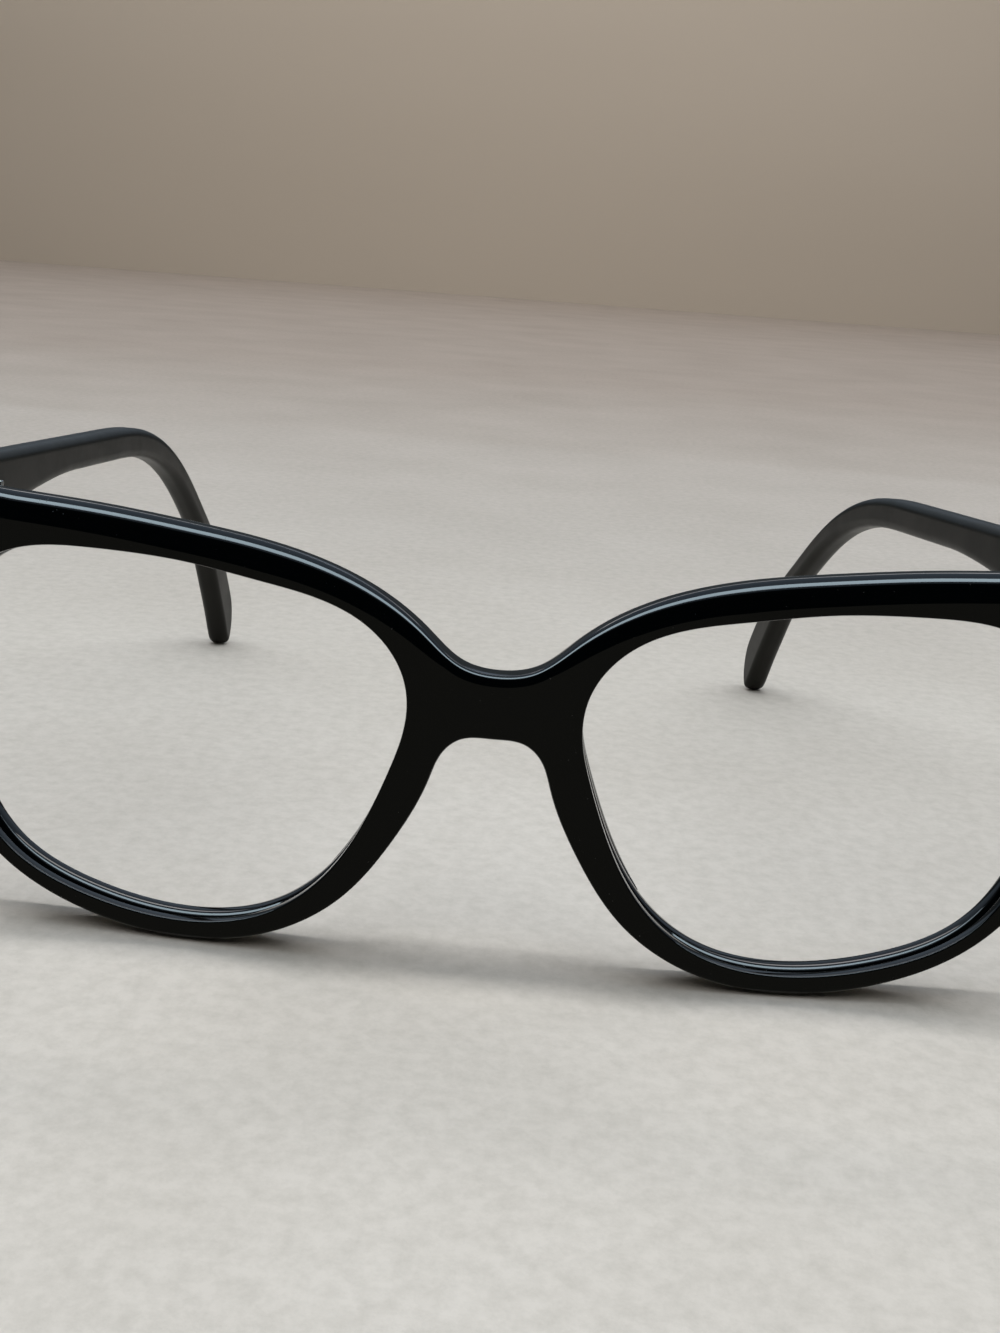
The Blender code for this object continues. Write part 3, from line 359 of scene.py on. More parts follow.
def rings_raised(name, rings, joined=False, capped=False):
    """A circle set on the first ring of points and extruded from ring to ring."""
    bpy.ops.object.select_all(action="DESELECT")
    bpy.ops.mesh.primitive_circle_add(vertices=len(rings[0]), radius=0.001)
    piece = bpy.context.object
    piece.name = name
    bpy.ops.object.mode_set(mode="EDIT")
    bpy.ops.mesh.select_mode(type="VERT")
    bm = bmesh.from_edit_mesh(piece.data)
    station = bm.verts.layers.int.new("station")
    ring = bm.verts.layers.int.new("ring")
    vert = bm.verts[:][0]
    seen_verts = []
    while len(seen_verts) < len(rings[0]):
        seen_verts.append(vert)
        others = [edge.other_vert(vert) for edge in vert.link_edges]
        vert = next((other for other in others if other not in seen_verts), None)
    for number, vert in enumerate(seen_verts):
        vert[station] = number
        vert.co = rings[0][number]
    bpy.ops.mesh.select_all(action="SELECT")
    if capped:
        bpy.ops.mesh.edge_face_add()
    for number, places in enumerate(rings[1:], 1):
        bpy.ops.mesh.extrude_edges_move()
        bm = bmesh.from_edit_mesh(piece.data)
        station = bm.verts.layers.int["station"]
        ring = bm.verts.layers.int["ring"]
        for vert in bm.verts:
            if vert.select:
                vert.co = places[vert[station]]
                vert[ring] = number
    if capped:
        bpy.ops.mesh.edge_face_add()
    if joined:
        for edge in bm.edges:
            numbers = {vert[ring] for vert in edge.verts}
            edge.select = len(numbers) == 1 and numbers <= {0, len(rings) - 1}
        bm.select_flush_mode()
        bmesh.update_edit_mesh(piece.data)
        bpy.ops.mesh.bridge_edge_loops()
    bpy.ops.mesh.select_all(action="SELECT")
    bpy.ops.mesh.normals_make_consistent(inside=False)
    bpy.ops.object.mode_set(mode="OBJECT")
    return piece


def normals_of(loop):
    """Unit vectors square to a closed loop of (x, z) points, to the right of its way round."""
    along = np.roll(loop, -1, axis=0) - np.roll(loop, 1, axis=0)
    along /= np.linalg.norm(along, axis=1)[:, None]
    return np.stack([along[:, 1], -along[:, 0]], axis=1)


def corner(before, at, after, steps):
    """Points of a small round between two legs that meet at a corner."""
    before, at, after = np.array(before), np.array(at), np.array(after)
    return [
        tuple((1 - t) ** 2 * before + 2 * t * (1 - t) * at + t**2 * after)
        for t in np.arange(steps + 1) / steps
    ]


bridge_height = bridge_top - bridge_underside
half_outline = [(x * lens_distance, bridge_top + z * bridge_height) for x, z in saddle_shares]
half_outline += [tuple(opening_point(turn / opening_points, width)) for turn, width in brow_rim]
half_outline += [
    (front_half_width - x * endpiece_length, endpiece_top - z * endpiece_height) for x, z in endpiece_shares
]
half_outline += [tuple(opening_point(turn / opening_points, width)) for turn, width in lower_rim]
half_outline += [(x * lens_distance, bridge_underside + z * bridge_height) for x, z in arch_shares]
whole_outline = half_outline + [(-x, z) for x, z in reversed(half_outline[1:-1])]
outline = smooth_loop(whole_outline, outline_steps)
outline_inward = normals_of(outline)

# The outer wall: along the brow a flat bevel that rolls over into the top, and a small round elsewhere
edge_round = 0.0005
crown_round = 0.0010
bevel_tilt = math.radians(22)
bevel_flat = 0.40
roll_end = math.radians(66)
turn_over = 0.00025
bevel_shares = (0.0, 0.14, 0.26, 0.45, 0.80, 1.0, 1.2)
bevel_heights = (0.0011, 0.0011, 0.0019, 0.0028, 0.0028, 0.0020, 0.0020)
bevel_end = 9
bevel_gone = 11
foot_run = 0.00020
foot_lap = 0.00006
foot_share = 0.3
foot_steps = 6
roll_steps = 9
turn_steps = 3
face_lap = 0.0003
rear_start = 0.0033
round_steps = 8
wall_rings = []
count = len(outline)
for number in range(count):
    station = min(number, count - number) / outline_steps
    height = float(np.interp(station / bevel_end, bevel_shares, bevel_heights))
    brow = float(np.clip((bevel_gone - station) / (bevel_gone - bevel_end), 0.0, 1.0))
    brow = brow * brow * (3 - 2 * brow)
    flat = bevel_flat * height
    flat_depth = flat * math.tan(bevel_tilt)
    turned_height = turn_over * (1 - math.sin(roll_end))
    roll = (height - flat - turned_height) / (math.sin(roll_end) - math.sin(bevel_tilt))
    bevelled = [(height + foot_run + foot_lap, 0.0)]
    foot_end = (height - flat * foot_share, flat_depth * foot_share)
    bevelled += corner((height + foot_run, 0.0), (height, 0.0), foot_end, foot_steps)
    for step in range(roll_steps + 1):
        angle = bevel_tilt + (roll_end - bevel_tilt) * step / roll_steps
        bevelled.append((
            turned_height + roll * (math.sin(roll_end) - math.sin(angle)),
            flat_depth + roll * (math.cos(bevel_tilt) - math.cos(angle)),
        ))
    back = bevelled[-1][1]
    for step in range(1, turn_steps + 1):
        angle = roll_end + (math.pi / 2 - roll_end) * step / turn_steps
        bevelled.append((
            turn_over * (1 - math.sin(angle)),
            back + turn_over * (math.cos(roll_end) - math.cos(angle)),
        ))
    arc = [math.pi / 2 * step / (len(bevelled) - 2) for step in range(len(bevelled) - 1)]
    rounded = [(edge_round + face_lap, 0.0)]
    rounded += [(edge_round * (1 - math.sin(a)), edge_round * (1 - math.cos(a))) for a in arc]
    profile = [
        (brow * n1 + (1 - brow) * n2, brow * y1 + (1 - brow) * y2)
        for (n1, y1), (n2, y2) in zip(bevelled, rounded)
    ]
    profile.append((0.0, rear_start))
    rear_round = edge_round + brow * (crown_round - edge_round)
    rear = [math.pi / 2 * step / round_steps for step in range(round_steps + 1)]
    profile += [
        (rear_round * (1 - math.cos(a)), front_thickness - rear_round * (1 - math.sin(a))) for a in rear
    ]
    profile.append((rear_round + face_lap, front_thickness))
    x, z = outline[number]
    nx, nz = outline_inward[number]
    wall_rings.append([(x + n * nx, y, z + n * nz) for n, y in profile])
front_rings = [[column[level] for column in wall_rings] for level in range(len(wall_rings[0]))]
outer_wall = rings_raised("front_acetate", front_rings)

# The walls of the two openings: a small round lip, the lens groove with its rear wall worn to a curve,
# and the rear lip
lip_round = 0.00030
lip_lap = 0.00044
lip_steps = 4
groove_depth = 0.0009
groove_middle = 0.0023
groove_half = 0.0010
groove_break = 0.00006
groove_run = 0.00009
root_break = 0.00012
groove_steps = 3
wall_start = (0.00010, 0.00016)
wall_bulge = (0.00034, 0.00042)
wall_end = 0.00004
wall_steps = 8
lip_profile = [(lip_lap, 0.0)] + corner((lip_round, 0.0), (0.0, 0.0), (0.0, lip_round), lip_steps)
lip_profile += corner(
    (0.0, groove_middle - groove_half - groove_run),
    (0.0, groove_middle - groove_half),
    (groove_break, groove_middle - groove_half + groove_break), groove_steps)
lip_profile += corner(
    (groove_depth - root_break, groove_middle - root_break),
    (groove_depth, groove_middle),
    (groove_depth - root_break, groove_middle + root_break), groove_steps)
lip_profile += corner(
    (groove_depth - wall_start[0], groove_middle + wall_start[1]),
    (wall_bulge[0], groove_middle + wall_bulge[1]),
    (0.0, groove_middle + groove_half - wall_end), wall_steps)
lip_profile += corner(
    (0.0, front_thickness - lip_round), (0.0, front_thickness), (lip_round, front_thickness), lip_steps)
lip_profile += [(lip_lap, front_thickness)]
milled_rings = range(5, 23)
opening_turns = [number / opening_steps for number in range(opening_steps)]
opening_walls = []
for side in (1, -1):
    rings = []
    for out, y in lip_profile:
        points = [opening_point(turn, out) for turn in opening_turns]
        rings.append([(side * x, y, z) for x, z in points])
    opening_walls.append(rings_raised("opening_wall", rings))
    mesh = opening_walls[-1].data
    ring_numbers = [item.value for item in mesh.attributes["ring"].data]
    mesh.materials.append(None)
    mesh.materials.append(None)
    for polygon in mesh.polygons:
        if all(ring_numbers[vertex] in milled_rings for vertex in polygon.vertices):
            polygon.material_index = 1

# Both faces are filled between the walls, and cut across before the plate is bowed
cut_step = 0.002
cut_offset = 0.0001
cuts_a_side = 27
same_level = 1e-6
bpy.ops.object.select_all(action="DESELECT")
for piece in (*opening_walls, outer_wall):
    piece.select_set(True)
bpy.context.view_layer.objects.active = outer_wall
bpy.ops.object.join()
front_acetate = outer_wall
bpy.ops.object.mode_set(mode="EDIT")
bpy.ops.mesh.select_mode(type="EDGE")
for level_y in (0.0, front_thickness):
    bpy.ops.mesh.select_all(action="DESELECT")
    bm = bmesh.from_edit_mesh(front_acetate.data)
    for edge in bm.edges:
        on_level = all(abs(vert.co.y - level_y) < same_level for vert in edge.verts)
        edge.select = edge.is_boundary and on_level
    bmesh.update_edit_mesh(front_acetate.data)
    bpy.ops.mesh.fill(use_beauty=True)
for step in range(-cuts_a_side, cuts_a_side + 1):
    bpy.ops.mesh.select_all(action="SELECT")
    bpy.ops.mesh.bisect(plane_co=(step * cut_step + cut_offset, 0.0, 0.0), plane_no=(1.0, 0.0, 0.0))
bpy.ops.mesh.select_all(action="SELECT")
bpy.ops.mesh.normals_make_consistent(inside=False)
bpy.ops.object.mode_set(mode="OBJECT")


def bow(x):
    """How far the front is bowed back at a distance x from its middle."""
    reach = min(abs(x), bowed_half_span)
    return reach**2 / (2 * bow_radius) + (abs(x) - reach) * bowed_half_span / bow_radius


for vertex in front_acetate.data.vertices:
    vertex.co.y += bow(vertex.co.x)


def seated(piece, place, angle=math.radians(38)):
    """Puts the finished mesh at its place with the object itself at the origin, and shades it."""
    bpy.ops.object.select_all(action="DESELECT")
    piece.select_set(True)
    bpy.context.view_layer.objects.active = piece
    piece.matrix_world = place
    bpy.ops.object.transform_apply(location=True, rotation=True, scale=True)
    bpy.ops.object.shade_smooth_by_angle(angle=angle)
    return piece


def scratches(nodes, links, places, turn, scale, sparse):
    """Fine straight scratches as a mask: stretched noise, kept only where it is highest."""
    mapping = nodes.new("ShaderNodeMapping")
    mapping.inputs["Rotation"].default_value = turn
    mapping.inputs["Scale"].default_value = (scale, scale / 40, scale)
    links.new(places, mapping.inputs["Vector"])
    streaks = noise(nodes, links, 1.0, 1.0, 0.4, mapping.outputs["Vector"])
    return ramp(nodes, links, streaks, ((sparse, (0.0, 0.0, 0.0)), (sparse + 0.02, (1.0, 1.0, 1.0))))


def acetate(name, colour, shine, gloss, fuzz, grain_scale, grain_depth):
    """Black cellulose acetate: near-black all through, with faint cloudiness, dust, smears and scratches."""
    material, nodes, links, shader = node_material(name)
    places = nodes.new("ShaderNodeTexCoord").outputs["Object"]
    clouds = noise(nodes, links, 90.0, 3.0, 0.5, places)
    dark = tuple(0.75 * c for c in colour)
    tint = ramp(nodes, links, clouds, ((0.35, dark), (0.65, colour)))
    specks = noise(nodes, links, 2600.0, 1.0, 0.5, places)
    dust = ramp(nodes, links, specks, ((0.795, (0.0, 0.0, 0.0)), (0.81, (0.08, 0.08, 0.076))))
    marks = scratches(nodes, links, places, (0.5, 0.4, 1.1), 3000.0, 0.79)
    links.new(mixed(nodes, links, "ADD", 0.4, tint, dust), shader.inputs["Base Color"])
    smears = noise(nodes, links, 160.0, 5.0, 0.65, places)
    wiped = ramp(nodes, links, smears, ((0.35, (gloss,) * 3), (0.75, (fuzz,) * 3)))
    worn = mixed(nodes, links, "MIX", marks, wiped, (0.45, 0.45, 0.45, 1.0))
    links.new(worn, shader.inputs["Roughness"])
    grain = noise(nodes, links, grain_scale, 3.0, 0.6, places)
    bumped(nodes, links, shader, grain, 0.35, grain_depth)
    shader.inputs["IOR"].default_value = 1.48
    shader.inputs["Specular IOR Level"].default_value = shine
    return material


polished = acetate("polished_black_acetate", (0.0004, 0.0004, 0.0004), 0.5, 0.045, 0.10, 900.0, 0.000004)
# The milled groove's grey-blue base colour is partly the greyness of milled acetate and partly a painted
# reflection of the bluish sky behind
milled = acetate("milled_acetate_painted_blue_reflection", (0.0260, 0.0330, 0.0370), 0.5, 0.22, 0.42, 3600.0, 0.00008)
front_acetate.data.materials.clear()
front_acetate.data.materials.append(polished)
front_acetate.data.materials.append(milled)
seated(front_acetate, frame_place)
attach(front_acetate, "front")
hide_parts("front")


# Nose pads
# Two fixed pads of the same acetate, cut as slim cushions and bonded with solvent to the back of the
# nasal rims, then tumbled with the front, so that only a fine joint line shows.
pad_height = 0.0032
pad_edge = 0.0008
pad_turns = (0.44, 0.62)
pad_stations = 60
pad_arc_points = 18
pad_rim = sorted(lower_rim)[:3]
pad_ease = 0.004
pad_swell = 0.6
pad_end_share = 0.25
pad_narrow_share = 0.60
pad_low_share = 0.25
pad_lap = 0.00002
pad_foot = (0.00004, 0.00014)
pad_inset = (0.00022, 0.00015)
for side_name, side in (("left", 1), ("right", -1)):
    rings = []
    for number in range(pad_stations):
        share = number / (pad_stations - 1)
        turn = pad_turns[0] + share * (pad_turns[1] - pad_turns[0])
        eased = pad_ease + (1 - 2 * pad_ease) * share
        swell = math.sin(math.pi * eased) ** pad_swell
        height = pad_edge * min(1.0, pad_end_share + swell) + (pad_height - pad_edge) * swell
        place = (turn - 1) * opening_points
        rim = float(np.interp(place, [at for at, _ in pad_rim], [width for _, width in pad_rim]))
        width = (rim - 2 * edge_round) * (pad_narrow_share + (1 - pad_narrow_share) * swell)
        section = [(pad_inset[0], 0.0), pad_foot]
        low = height * pad_low_share
        for point in range(pad_arc_points):
            angle = math.pi / 2 * (1 - point / (pad_arc_points - 1))
            out = pad_foot[0] + (width - pad_foot[0]) * math.cos(angle)
            section.append((out, low + (height - low) * math.sin(angle)))
        section += [(width, low * 0.5), (width - pad_inset[1], 0.0)]
        ring = []
        for out, back in section:
            x, z = opening_point(turn, out)
            ring.append((side * x, front_thickness - pad_lap + bow(x) + back, z))
        rings.append(ring)
    pad = rings_raised(f"{side_name}_nose_cushion", rings, capped=True)
    pad.data.materials.append(polished)
    seated(pad, frame_place, math.radians(55))
    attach(pad, "front")
    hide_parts(f"{side_name}_nose_pad")


# Hinge leaves
# Five-barrel spectacle hinges of nickel silver: a flat stamped leaf with its knuckles on each side,
# plated bright, three knuckles on the front's leaf and two on the temple's.
hinge_height = 0.0064
barrel_radius = 0.0015
leaf_thickness = 0.0009
knuckle_gap = 0.00015
seat_gap = 0.0003
screw_radius = 0.00065
front_leaf_length = 0.0049
temple_leaf_length = 0.0072
leaf_round = 0.00016
bore_clearance = 0.00008
knuckle_break = 0.00007
web_from_screw = 0.0003
web_inset = 0.00002
web_share = 0.98
web_round = 0.00006
hinge_offset = seat_gap + leaf_thickness + barrel_radius + knuckle_gap
knuckle_height = (hinge_height - 4 * knuckle_gap) / 5
rivet_levels = (("lower", -0.0022), ("upper", 0.0022))
rivet_from_axis = 0.0038
open_angle = math.radians(2.97)
turned_in = {"left": math.radians(8.23), "right": 0.0}
hinge_level = 0.0455
hinge_from_end = 0.0072
hinge_x = front_half_width - hinge_from_end
bow_angle = math.atan(bowed_half_span / bow_radius)


def hinge_place(side, turn):
    """The hinge axis's place, with local +Y pointing back and turned about the axis by an angle."""
    foot = Matrix.Translation((side * hinge_x, front_thickness + bow(hinge_x), hinge_level))
    out = foot @ Matrix.Rotation(side * bow_angle, 4, "Z") @ Matrix.Translation((0.0, hinge_offset, 0.0))
    return frame_place @ Matrix.Translation(out.to_translation()) @ Matrix.Rotation(turn, 4, "Z")


def circle_ring(radius, level, sides):
    """Points evenly round the Z axis, at a level along it."""
    return [
        (radius * math.cos(math.tau * i / sides), radius * math.sin(math.tau * i / sides), level)
        for i in range(sides)
    ]


def bevelled_block(name, low, high, width, segments):
    """A block between two corners with its edges rounded."""
    bpy.ops.object.select_all(action="DESELECT")
    middle = [(a + b) / 2 for a, b in zip(low, high)]
    bpy.ops.mesh.primitive_cube_add(size=1.0, location=middle)
    piece = bpy.context.object
    piece.name = name
    piece.scale = [abs(b - a) for a, b in zip(low, high)]
    bpy.ops.object.transform_apply(location=True, rotation=True, scale=True)
    bpy.ops.object.mode_set(mode="EDIT")
    bpy.ops.mesh.select_all(action="SELECT")
    bpy.ops.mesh.bevel(offset=width, segments=segments, affect="EDGES")
    bpy.ops.object.mode_set(mode="OBJECT")
    return piece


def knuckle(level):
    """One bored barrel of the hinge, with its rims broken."""
    low, high = level - knuckle_height / 2, level + knuckle_height / 2
    bore, rim = screw_radius + bore_clearance, knuckle_break
    profile = (
        (bore + rim, low), (barrel_radius - rim, low), (barrel_radius, low + rim),
        (barrel_radius, high - rim), (barrel_radius - rim, high), (bore + rim, high),
        (bore, high - rim), (bore, low + rim),
    )
    return rings_raised("knuckle", [circle_ring(radius, z, 56) for radius, z in profile], joined=True)


def joined_as(name, pieces):
    """The pieces joined into the first, under a new name."""
    bpy.ops.object.select_all(action="DESELECT")
    for piece in pieces:
        piece.select_set(True)
    bpy.context.view_layer.objects.active = pieces[0]
    bpy.ops.object.join()
    pieces[0].name = name
    return pieces[0]


def metal(name, colour, smooth, rough, brush):
    """Worn bright metal: fine brushing, a mottled roughness and a faint tarnish."""
    material, nodes, links, shader = node_material(name)
    places = nodes.new("ShaderNodeTexCoord").outputs["Object"]
    clouds = noise(nodes, links, 700.0, 4.0, 0.6, places)
    dull = tuple(0.72 * c for c in colour)
    tint = ramp(nodes, links, clouds, ((0.35, dull), (0.60, colour)))
    links.new(tint, shader.inputs["Base Color"])
    mapping = nodes.new("ShaderNodeMapping")
    mapping.inputs["Scale"].default_value = brush
    links.new(places, mapping.inputs["Vector"])
    lines = noise(nodes, links, 1.0, 3.0, 0.7, mapping.outputs["Vector"])
    wear = ramp(nodes, links, lines, ((0.3, (smooth,) * 3), (0.7, (rough,) * 3)))
    links.new(wear, shader.inputs["Roughness"])
    bumped(nodes, links, shader, lines, 0.3, 0.000006)
    shader.inputs["Metallic"].default_value = 1.0
    return material


plated = metal("plated_nickel_silver", (0.62, 0.60, 0.56), 0.16, 0.34, (600.0, 600.0, 9000.0))
web_half = knuckle_height / 2 - web_inset
for side_name, side in (("left", 1), ("right", -1)):
    near = -(hinge_offset - seat_gap)
    low = (-side * front_leaf_length, near, -hinge_height / 2)
    high = (side * barrel_radius / 2, near + leaf_thickness, hinge_height / 2)
    pieces = [bevelled_block("plate", low, high, leaf_round, 3)]
    for number in (-2, 0, 2):
        level = number * (knuckle_height + knuckle_gap)
        low = (-side * barrel_radius * web_share, near + leaf_thickness / 2, level - web_half)
        high = (-side * (screw_radius + web_from_screw), 0.0, level + web_half)
        pieces += [knuckle(level), bevelled_block("web", low, high, web_round, 2)]
    leaf = joined_as(f"{side_name}_front_leaf_plated", pieces)
    leaf.data.materials.append(plated)
    seated(leaf, hinge_place(side, side * bow_angle))
    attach(leaf, "front")
    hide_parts(f"{side_name}_front_hinge_leaf")

    face = hinge_offset - seat_gap
    low = (side * (face - leaf_thickness), -barrel_radius / 2, -hinge_height / 2)
    high = (side * face, temple_leaf_length, hinge_height / 2)
    pieces = [bevelled_block("plate", low, high, leaf_round, 3)]
    for number in (-1, 1):
        level = number * (knuckle_height + knuckle_gap)
        low = (0.0, screw_radius + web_from_screw, level - web_half)
        high = (side * (face - leaf_thickness / 2), barrel_radius * web_share, level + web_half)
        pieces += [knuckle(level), bevelled_block("web", low, high, web_round, 2)]
    leaf = joined_as(f"{side_name}_temple_leaf_plated", pieces)
    leaf.data.materials.append(plated)
    seated(leaf, hinge_place(side, side * (open_angle + turned_in[side_name])))
    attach(leaf, f"{side_name}_temple")
    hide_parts(f"{side_name}_temple_hinge_leaf")


# Hinge screws
# A small slotted cheese-head screw of steel runs down through the five barrels and holds the temple
# where it is put. Its head is turned bright and the slot is milled across.
bright_steel = metal("bright_screw_steel", (0.66, 0.66, 0.67), 0.14, 0.30, (3000.0, 3000.0, 900.0))
head_radius = 0.0012
head_height = 0.0005
screw_top = hinge_height / 2 + knuckle_gap
head_top = screw_top + head_height
screw_foot = -hinge_height / 2
tip_break = 0.00008
head_break = 0.00004
crown_insets = ((0.0, 0.55), (0.00008, 0.8), (0.00025, 0.97))
crown_flat_share = 0.5
turning_centre = 0.0002
slot_width = 0.0003
slot_depth = 0.00025
slot_break = 0.00003
for side_name, side in (("left", 1), ("right", -1)):
    profile = [
        (turning_centre, screw_foot), (screw_radius - tip_break, screw_foot),
        (screw_radius, screw_foot + tip_break), (screw_radius, screw_top),
        (head_radius - head_break, screw_top), (head_radius, screw_top + head_break),
    ]
    profile += [(head_radius - inset, screw_top + head_height * share) for inset, share in crown_insets]
    profile += [(head_radius * crown_flat_share, head_top), (turning_centre, head_top)]
    rings = [circle_ring(radius, z, 64) for radius, z in profile]
    screw = rings_raised(f"{side_name}_screw_slotted", rings, capped=True)
    low = (-2 * head_radius, -slot_width / 2, head_top - slot_depth)
    high = (2 * head_radius, slot_width / 2, head_top + head_height)
    mill = bevelled_block("slot_mill", low, high, slot_break, 1)
    bpy.ops.object.select_all(action="DESELECT")
    bpy.context.view_layer.objects.active = screw
    screw.select_set(True)
    cut = screw.modifiers.new("slot", "BOOLEAN")
    cut.object = mill
    cut.operation = "DIFFERENCE"
    cut.solver = "EXACT"
    bpy.ops.object.modifier_apply(modifier="slot")
    bpy.data.objects.remove(mill, do_unlink=True)
    screw.data.materials.clear()
    screw.data.materials.append(bright_steel)
    seated(screw, hinge_place(side, side * bow_angle))
    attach(screw, "front")
    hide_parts(f"{side_name}_hinge_screw")


# Rivets
# Two rivets hold each leaf: a low polished dome on the outside of the acetate, and a tail peened flat
# over the leaf behind it. The front's upper ones are filed down to the brow's bevel.
rivet_radius = 0.0005
dome_radius = 0.00095
dome_height = 0.00035
filed_radius = 0.0007
filed_height = 0.00006
tail_radius = 0.0008
tail_height = 0.00025
tail_share = 0.6
rivet_clearance = 0.0001
rivet_lap = 0.00002
rivet_centre = 0.00004
dome_steps = 8
temple_thickness = 0.0039
rivet_steel = metal("domed_rivet_steel", (0.64, 0.63, 0.61), 0.10, 0.24, (1500.0, 1500.0, 1500.0))


def brow_fall(up):
    """How far the brow's bevel lies behind the flat face, at a height over the rivet's middle."""
    fall, slope, curve = 0.00075, 0.863, 385.0
    return fall + slope * up + curve * up * up


def rivet(name, wall, place, filed=False):
    """A rivet along +Z: tail under the leaf at Z = 0, shank through leaf and wall, dome outside."""
    outer_radius, outer_height = (filed_radius, filed_height) if filed else (dome_radius, dome_height)
    grip = wall + seat_gap + leaf_thickness + rivet_lap
    tail_end = -tail_height - rivet_clearance
    profile = [(2 * rivet_centre, tail_end), (tail_radius * tail_share, tail_end)]
    profile += [(tail_radius, -tail_height * tail_share - rivet_clearance), (tail_radius, -rivet_lap)]
    profile += [(rivet_radius, -rivet_lap), (rivet_radius, grip), (outer_radius, grip)]
    for step in range(1, dome_steps + 1):
        angle = math.pi / 2 * step / dome_steps
        radius = max(outer_radius * math.cos(angle), rivet_centre)
        profile.append((radius, grip + outer_height * math.sin(angle)))
    rings = [circle_ring(radius, z, 40) for radius, z in profile]
    if filed:
        rings = [[(x, y, z - brow_fall(y) if z > 0 else z) for x, y, z in ring] for ring in rings]
    piece = rings_raised(name, rings, capped=True)
    piece.data.materials.append(rivet_steel)
    return seated(piece, place)


for side_name, side in (("left", 1), ("right", -1)):
    fixed = hinge_place(side, side * bow_angle)
    turning = hinge_place(side, side * (open_angle + turned_in[side_name]))
    leaf_back = -(hinge_offset - seat_gap) + leaf_thickness
    for label, level in rivet_levels:
        place = fixed @ Matrix.Translation((-side * rivet_from_axis, leaf_back, level))
        place = place @ Matrix.Rotation(math.pi / 2, 4, "X")
        piece = rivet(f"{side_name}_front_rivet_domed_{label}", front_thickness, place, label == "upper")
        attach(piece, "front")
        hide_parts(f"{side_name}_front_rivet_{label}")
        leaf_side = side * (hinge_offset - seat_gap - leaf_thickness)
        place = turning @ Matrix.Translation((leaf_side, rivet_from_axis, level))
        place = place @ Matrix.Rotation(side * math.pi / 2, 4, "Y")
        piece = rivet(f"{side_name}_temple_rivet_domed_{label}", temple_thickness, place)
        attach(piece, f"{side_name}_temple")
        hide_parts(f"{side_name}_temple_rivet_{label}")


# Temples
# Two arms sawn from black acetate sheet: deep at the hinge, slim to the ear bend, then widening to a
# flat tip swept to its lower edge. The edges are tumbled round, and all faces are dulled by handling.
end_height = 0.0088
arm_height = 0.0046
bend_height = 0.0036
tip_height = 0.0066
tip_length = 0.0080
tip_sweep = 0.65
flare_length = 0.0406
temple_edge_depth = 0.0012
edge_half_widths = (0.0012, 0.0017)
edge_lap = 0.0002
end_break = 0.00018
end_lead = 0.006
temple_length = 0.1325
bend_start = 0.0546
bend_length = 0.0443
drop_radius = 0.0723
tip_inward = 0.0012
inward_start = 0.0510
inward_length = 0.030
rise = {"left": math.radians(1.41), "right": math.radians(2.67)}
ear_bend = {"left": math.radians(36.329), "right": math.radians(40.056)}
path_steps = 260
tip_steps = 48
inward_cuts = 33
tip_radius = tip_height / 2
path_step = (temple_length - tip_length) / path_steps
# The temples' olive base colour, well above the front's near black, is partly painted light that lightens
# the arms in place of the light falling on them; the dulling by handling is in the roughness
satin = acetate("handled_acetate_painted_light", (0.0120, 0.0115, 0.0092), 0.16, 0.30, 0.42, 1500.0, 0.000012)


def pitch(side_name, length):
    """How far the temple's middle line points down at a length from the hinge axis."""
    share = min(max((length - bend_start) / bend_length, 0.0), 1.0)
    past = max(length - bend_start - bend_length, 0.0)
    return ear_bend[side_name] * share**2 * (3 - 2 * share) + past / drop_radius - rise[side_name]


def half_heights(length):
    """How far the upper and lower edges lie from the temple's middle line at a length."""
    stops = (0.0, bend_start, bend_start + bend_length, path_steps * path_step - tip_radius, temple_length)
    heights = (arm_height, arm_height, bend_height, tip_height, tip_height)
    slot = max(i for i in range(4) if stops[i] <= length)
    share = min((length - stops[slot]) / (stops[slot + 1] - stops[slot]), 1.0)
    height = heights[slot] + share**2 * (3 - 2 * share) * (heights[slot + 1] - heights[slot])
    flare = max(1 - length / flare_length, 0.0)
    extra = (end_height - arm_height) * flare**2 * (3 - 2 * flare)
    return height / 2, height / 2 + extra


def temple_outline(side_name):
    """The closed side view (back, up) of a temple, from the front end over the top to the tip and back."""
    back, up = 0.0, (end_height - arm_height) / 2
    upper, lower = [], []
    for step in range(path_steps + 1):
        if step:
            middle = pitch(side_name, (step - 0.5) * path_step)
            back += path_step * math.cos(middle)
            up -= path_step * math.sin(middle)
        down = pitch(side_name, step * path_step)
        above, below = half_heights(step * path_step)
        upper.append((back + above * math.sin(down), up + above * math.cos(down)))
        lower.append((back - below * math.sin(down), up - below * math.cos(down)))
    tip = []
    for step in range(1, tip_steps):
        angle = math.pi / 2 - math.pi * step / tip_steps
        ahead = tip_length * math.cos(angle)
        aside = tip_radius * (math.sin(angle) - tip_sweep * math.cos(angle) ** 2)
        tip.append((
            back + ahead * math.cos(down) + aside * math.sin(down),
            up - ahead * math.sin(down) + aside * math.cos(down),
        ))
    fall = end_lead * math.tan(rise[side_name])
    front = [(upper[0][0] - end_lead, upper[0][1] - fall)]
    foot = [(lower[0][0] - end_lead, lower[0][1] - fall)]
    return np.array(front + upper + tip + lower[::-1] + foot), back


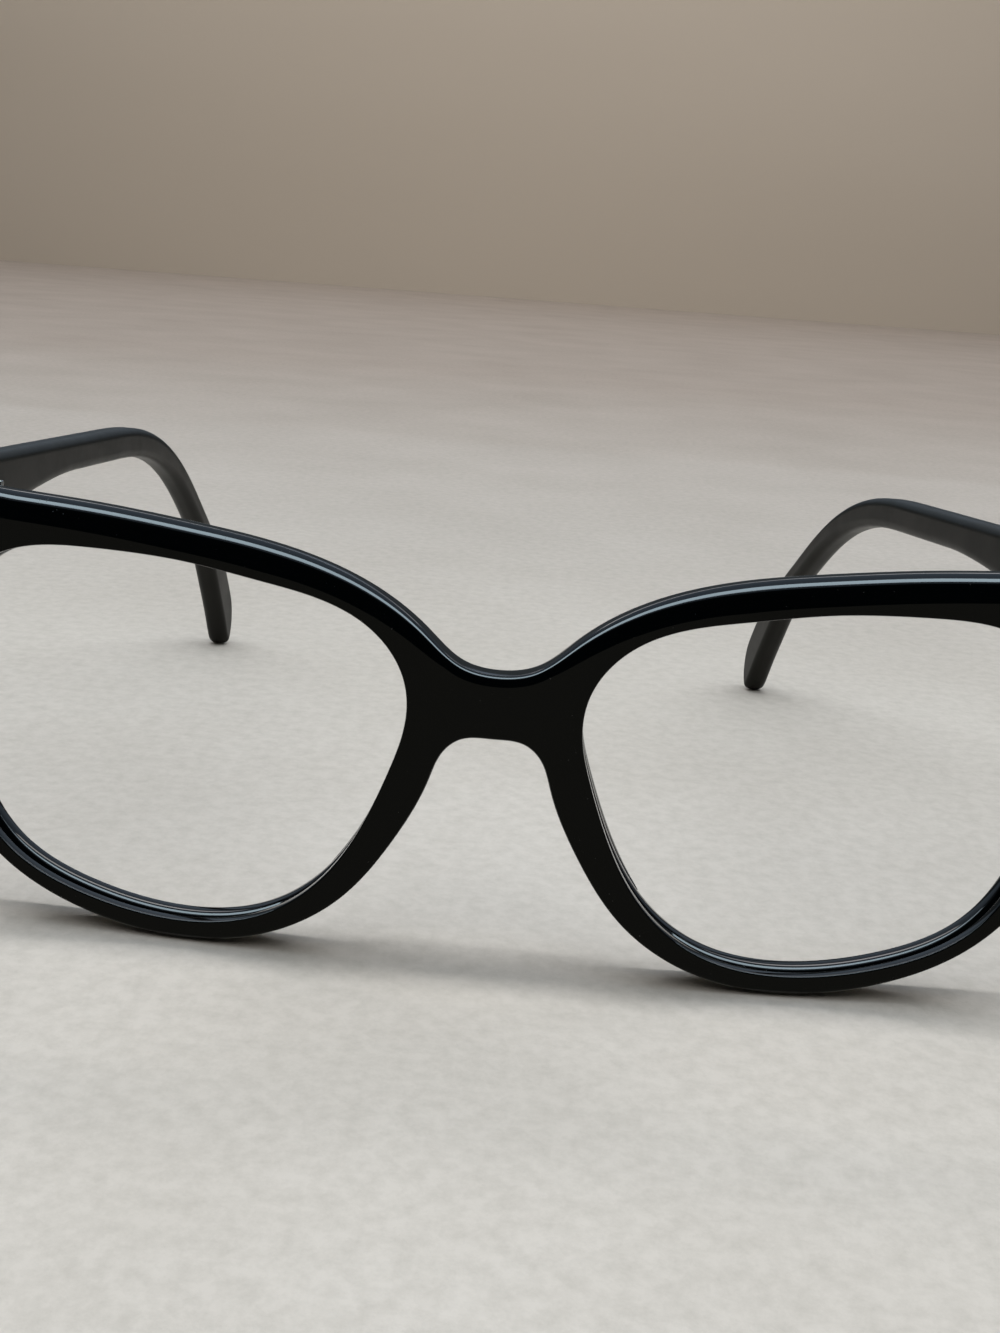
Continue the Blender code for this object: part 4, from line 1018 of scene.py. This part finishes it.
for side_name, side in (("left", 1), ("right", -1)):
    loop, reach = temple_outline(side_name)
    across_loop = np.roll(loop, -1, axis=0) - np.roll(loop, 1, axis=0)
    across_loop[0] = across_loop[1]
    across_loop[-1] = across_loop[-2]
    across_loop /= np.linalg.norm(across_loop, axis=1)[:, None]
    loop_inward = np.stack([across_loop[:, 1], -across_loop[:, 0]], axis=1)
    inner, outer = hinge_offset, hinge_offset + temple_thickness
    arcs = [math.pi / 2 * step / round_steps for step in range(round_steps + 1)]
    edge = [(temple_edge_depth + edge_lap, 1, 0.0)]
    edge += [(temple_edge_depth * (1 - math.sin(a)), 1, 1 - math.cos(a)) for a in arcs]
    edge += [(temple_edge_depth * (1 - math.cos(a)), -1, 1 - math.sin(a)) for a in arcs]
    edge += [(temple_edge_depth + edge_lap, -1, 0.0)]
    rings = []
    for depth, way, share in edge:
        ring = []
        for (b, u), (nb, nu) in zip(loop, loop_inward):
            half_width = float(np.interp(b, (bend_start, reach), edge_half_widths))
            x = (inner if way > 0 else outer) + way * share * half_width
            ring.append((side * x, b + depth * nb, u + depth * nu))
        rings.append(ring)
    temple = rings_raised(f"{side_name}_temple_acetate", rings)
    temple.data.materials.append(satin)
    bpy.ops.object.mode_set(mode="EDIT")
    bpy.ops.mesh.select_mode(type="EDGE")
    for level_x in (inner, outer):
        bpy.ops.mesh.select_all(action="DESELECT")
        bm = bmesh.from_edit_mesh(temple.data)
        for edge in bm.edges:
            on_level = all(abs(abs(vert.co.x) - level_x) < same_level for vert in edge.verts)
            edge.select = edge.is_boundary and on_level
        bmesh.update_edit_mesh(temple.data)
        bpy.ops.mesh.fill(use_beauty=True)
    bpy.ops.mesh.select_all(action="SELECT")
    tilt = bow_angle - open_angle
    square = Vector((-side * math.sin(tilt), math.cos(tilt), 0.0))
    end_point = -square * (hinge_offset - seat_gap)
    bpy.ops.mesh.bisect(plane_co=end_point, plane_no=square, use_fill=True, clear_inner=True)
    bpy.ops.mesh.select_mode(type="EDGE")
    bpy.ops.mesh.bevel(offset=end_break, segments=3, affect="EDGES")
    for step in range(1, inward_cuts + 1):
        bpy.ops.mesh.select_all(action="SELECT")
        bpy.ops.mesh.bisect(plane_co=(0.0, inward_start + step * cut_step, 0.0), plane_no=(0.0, 1.0, 0.0))
    bpy.ops.mesh.select_all(action="SELECT")
    bpy.ops.mesh.normals_make_consistent(inside=False)
    bpy.ops.object.mode_set(mode="OBJECT")
    whole = inward_length * (2 * (reach - inward_start) - inward_length)
    for vertex in temple.data.vertices:
        curved = min(max(vertex.co.y - inward_start, 0.0), inward_length)
        straight = max(vertex.co.y - inward_start - inward_length, 0.0)
        vertex.co.x -= side * tip_inward * (curved**2 + 2 * inward_length * straight) / whole
    seated(temple, hinge_place(side, side * (open_angle + turned_in[side_name])))
    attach(temple, f"{side_name}_temple")
    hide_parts(f"{side_name}_temple")


# Core wires
# A stiff round wire of nickel silver is shot hot down the middle of each temple, so that the ear bend
# can be set. It stays as the CAD draws it and gets the look of drawn wire.
drawn_wire = metal("drawn_wire", (0.55, 0.54, 0.50), 0.22, 0.42, (2500.0, 120.0, 2500.0))
for side_name in ("left", "right"):
    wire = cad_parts[f"{side_name}_temple_core_wire"]
    for slot in wire.material_slots:
        slot.material = drawn_wire
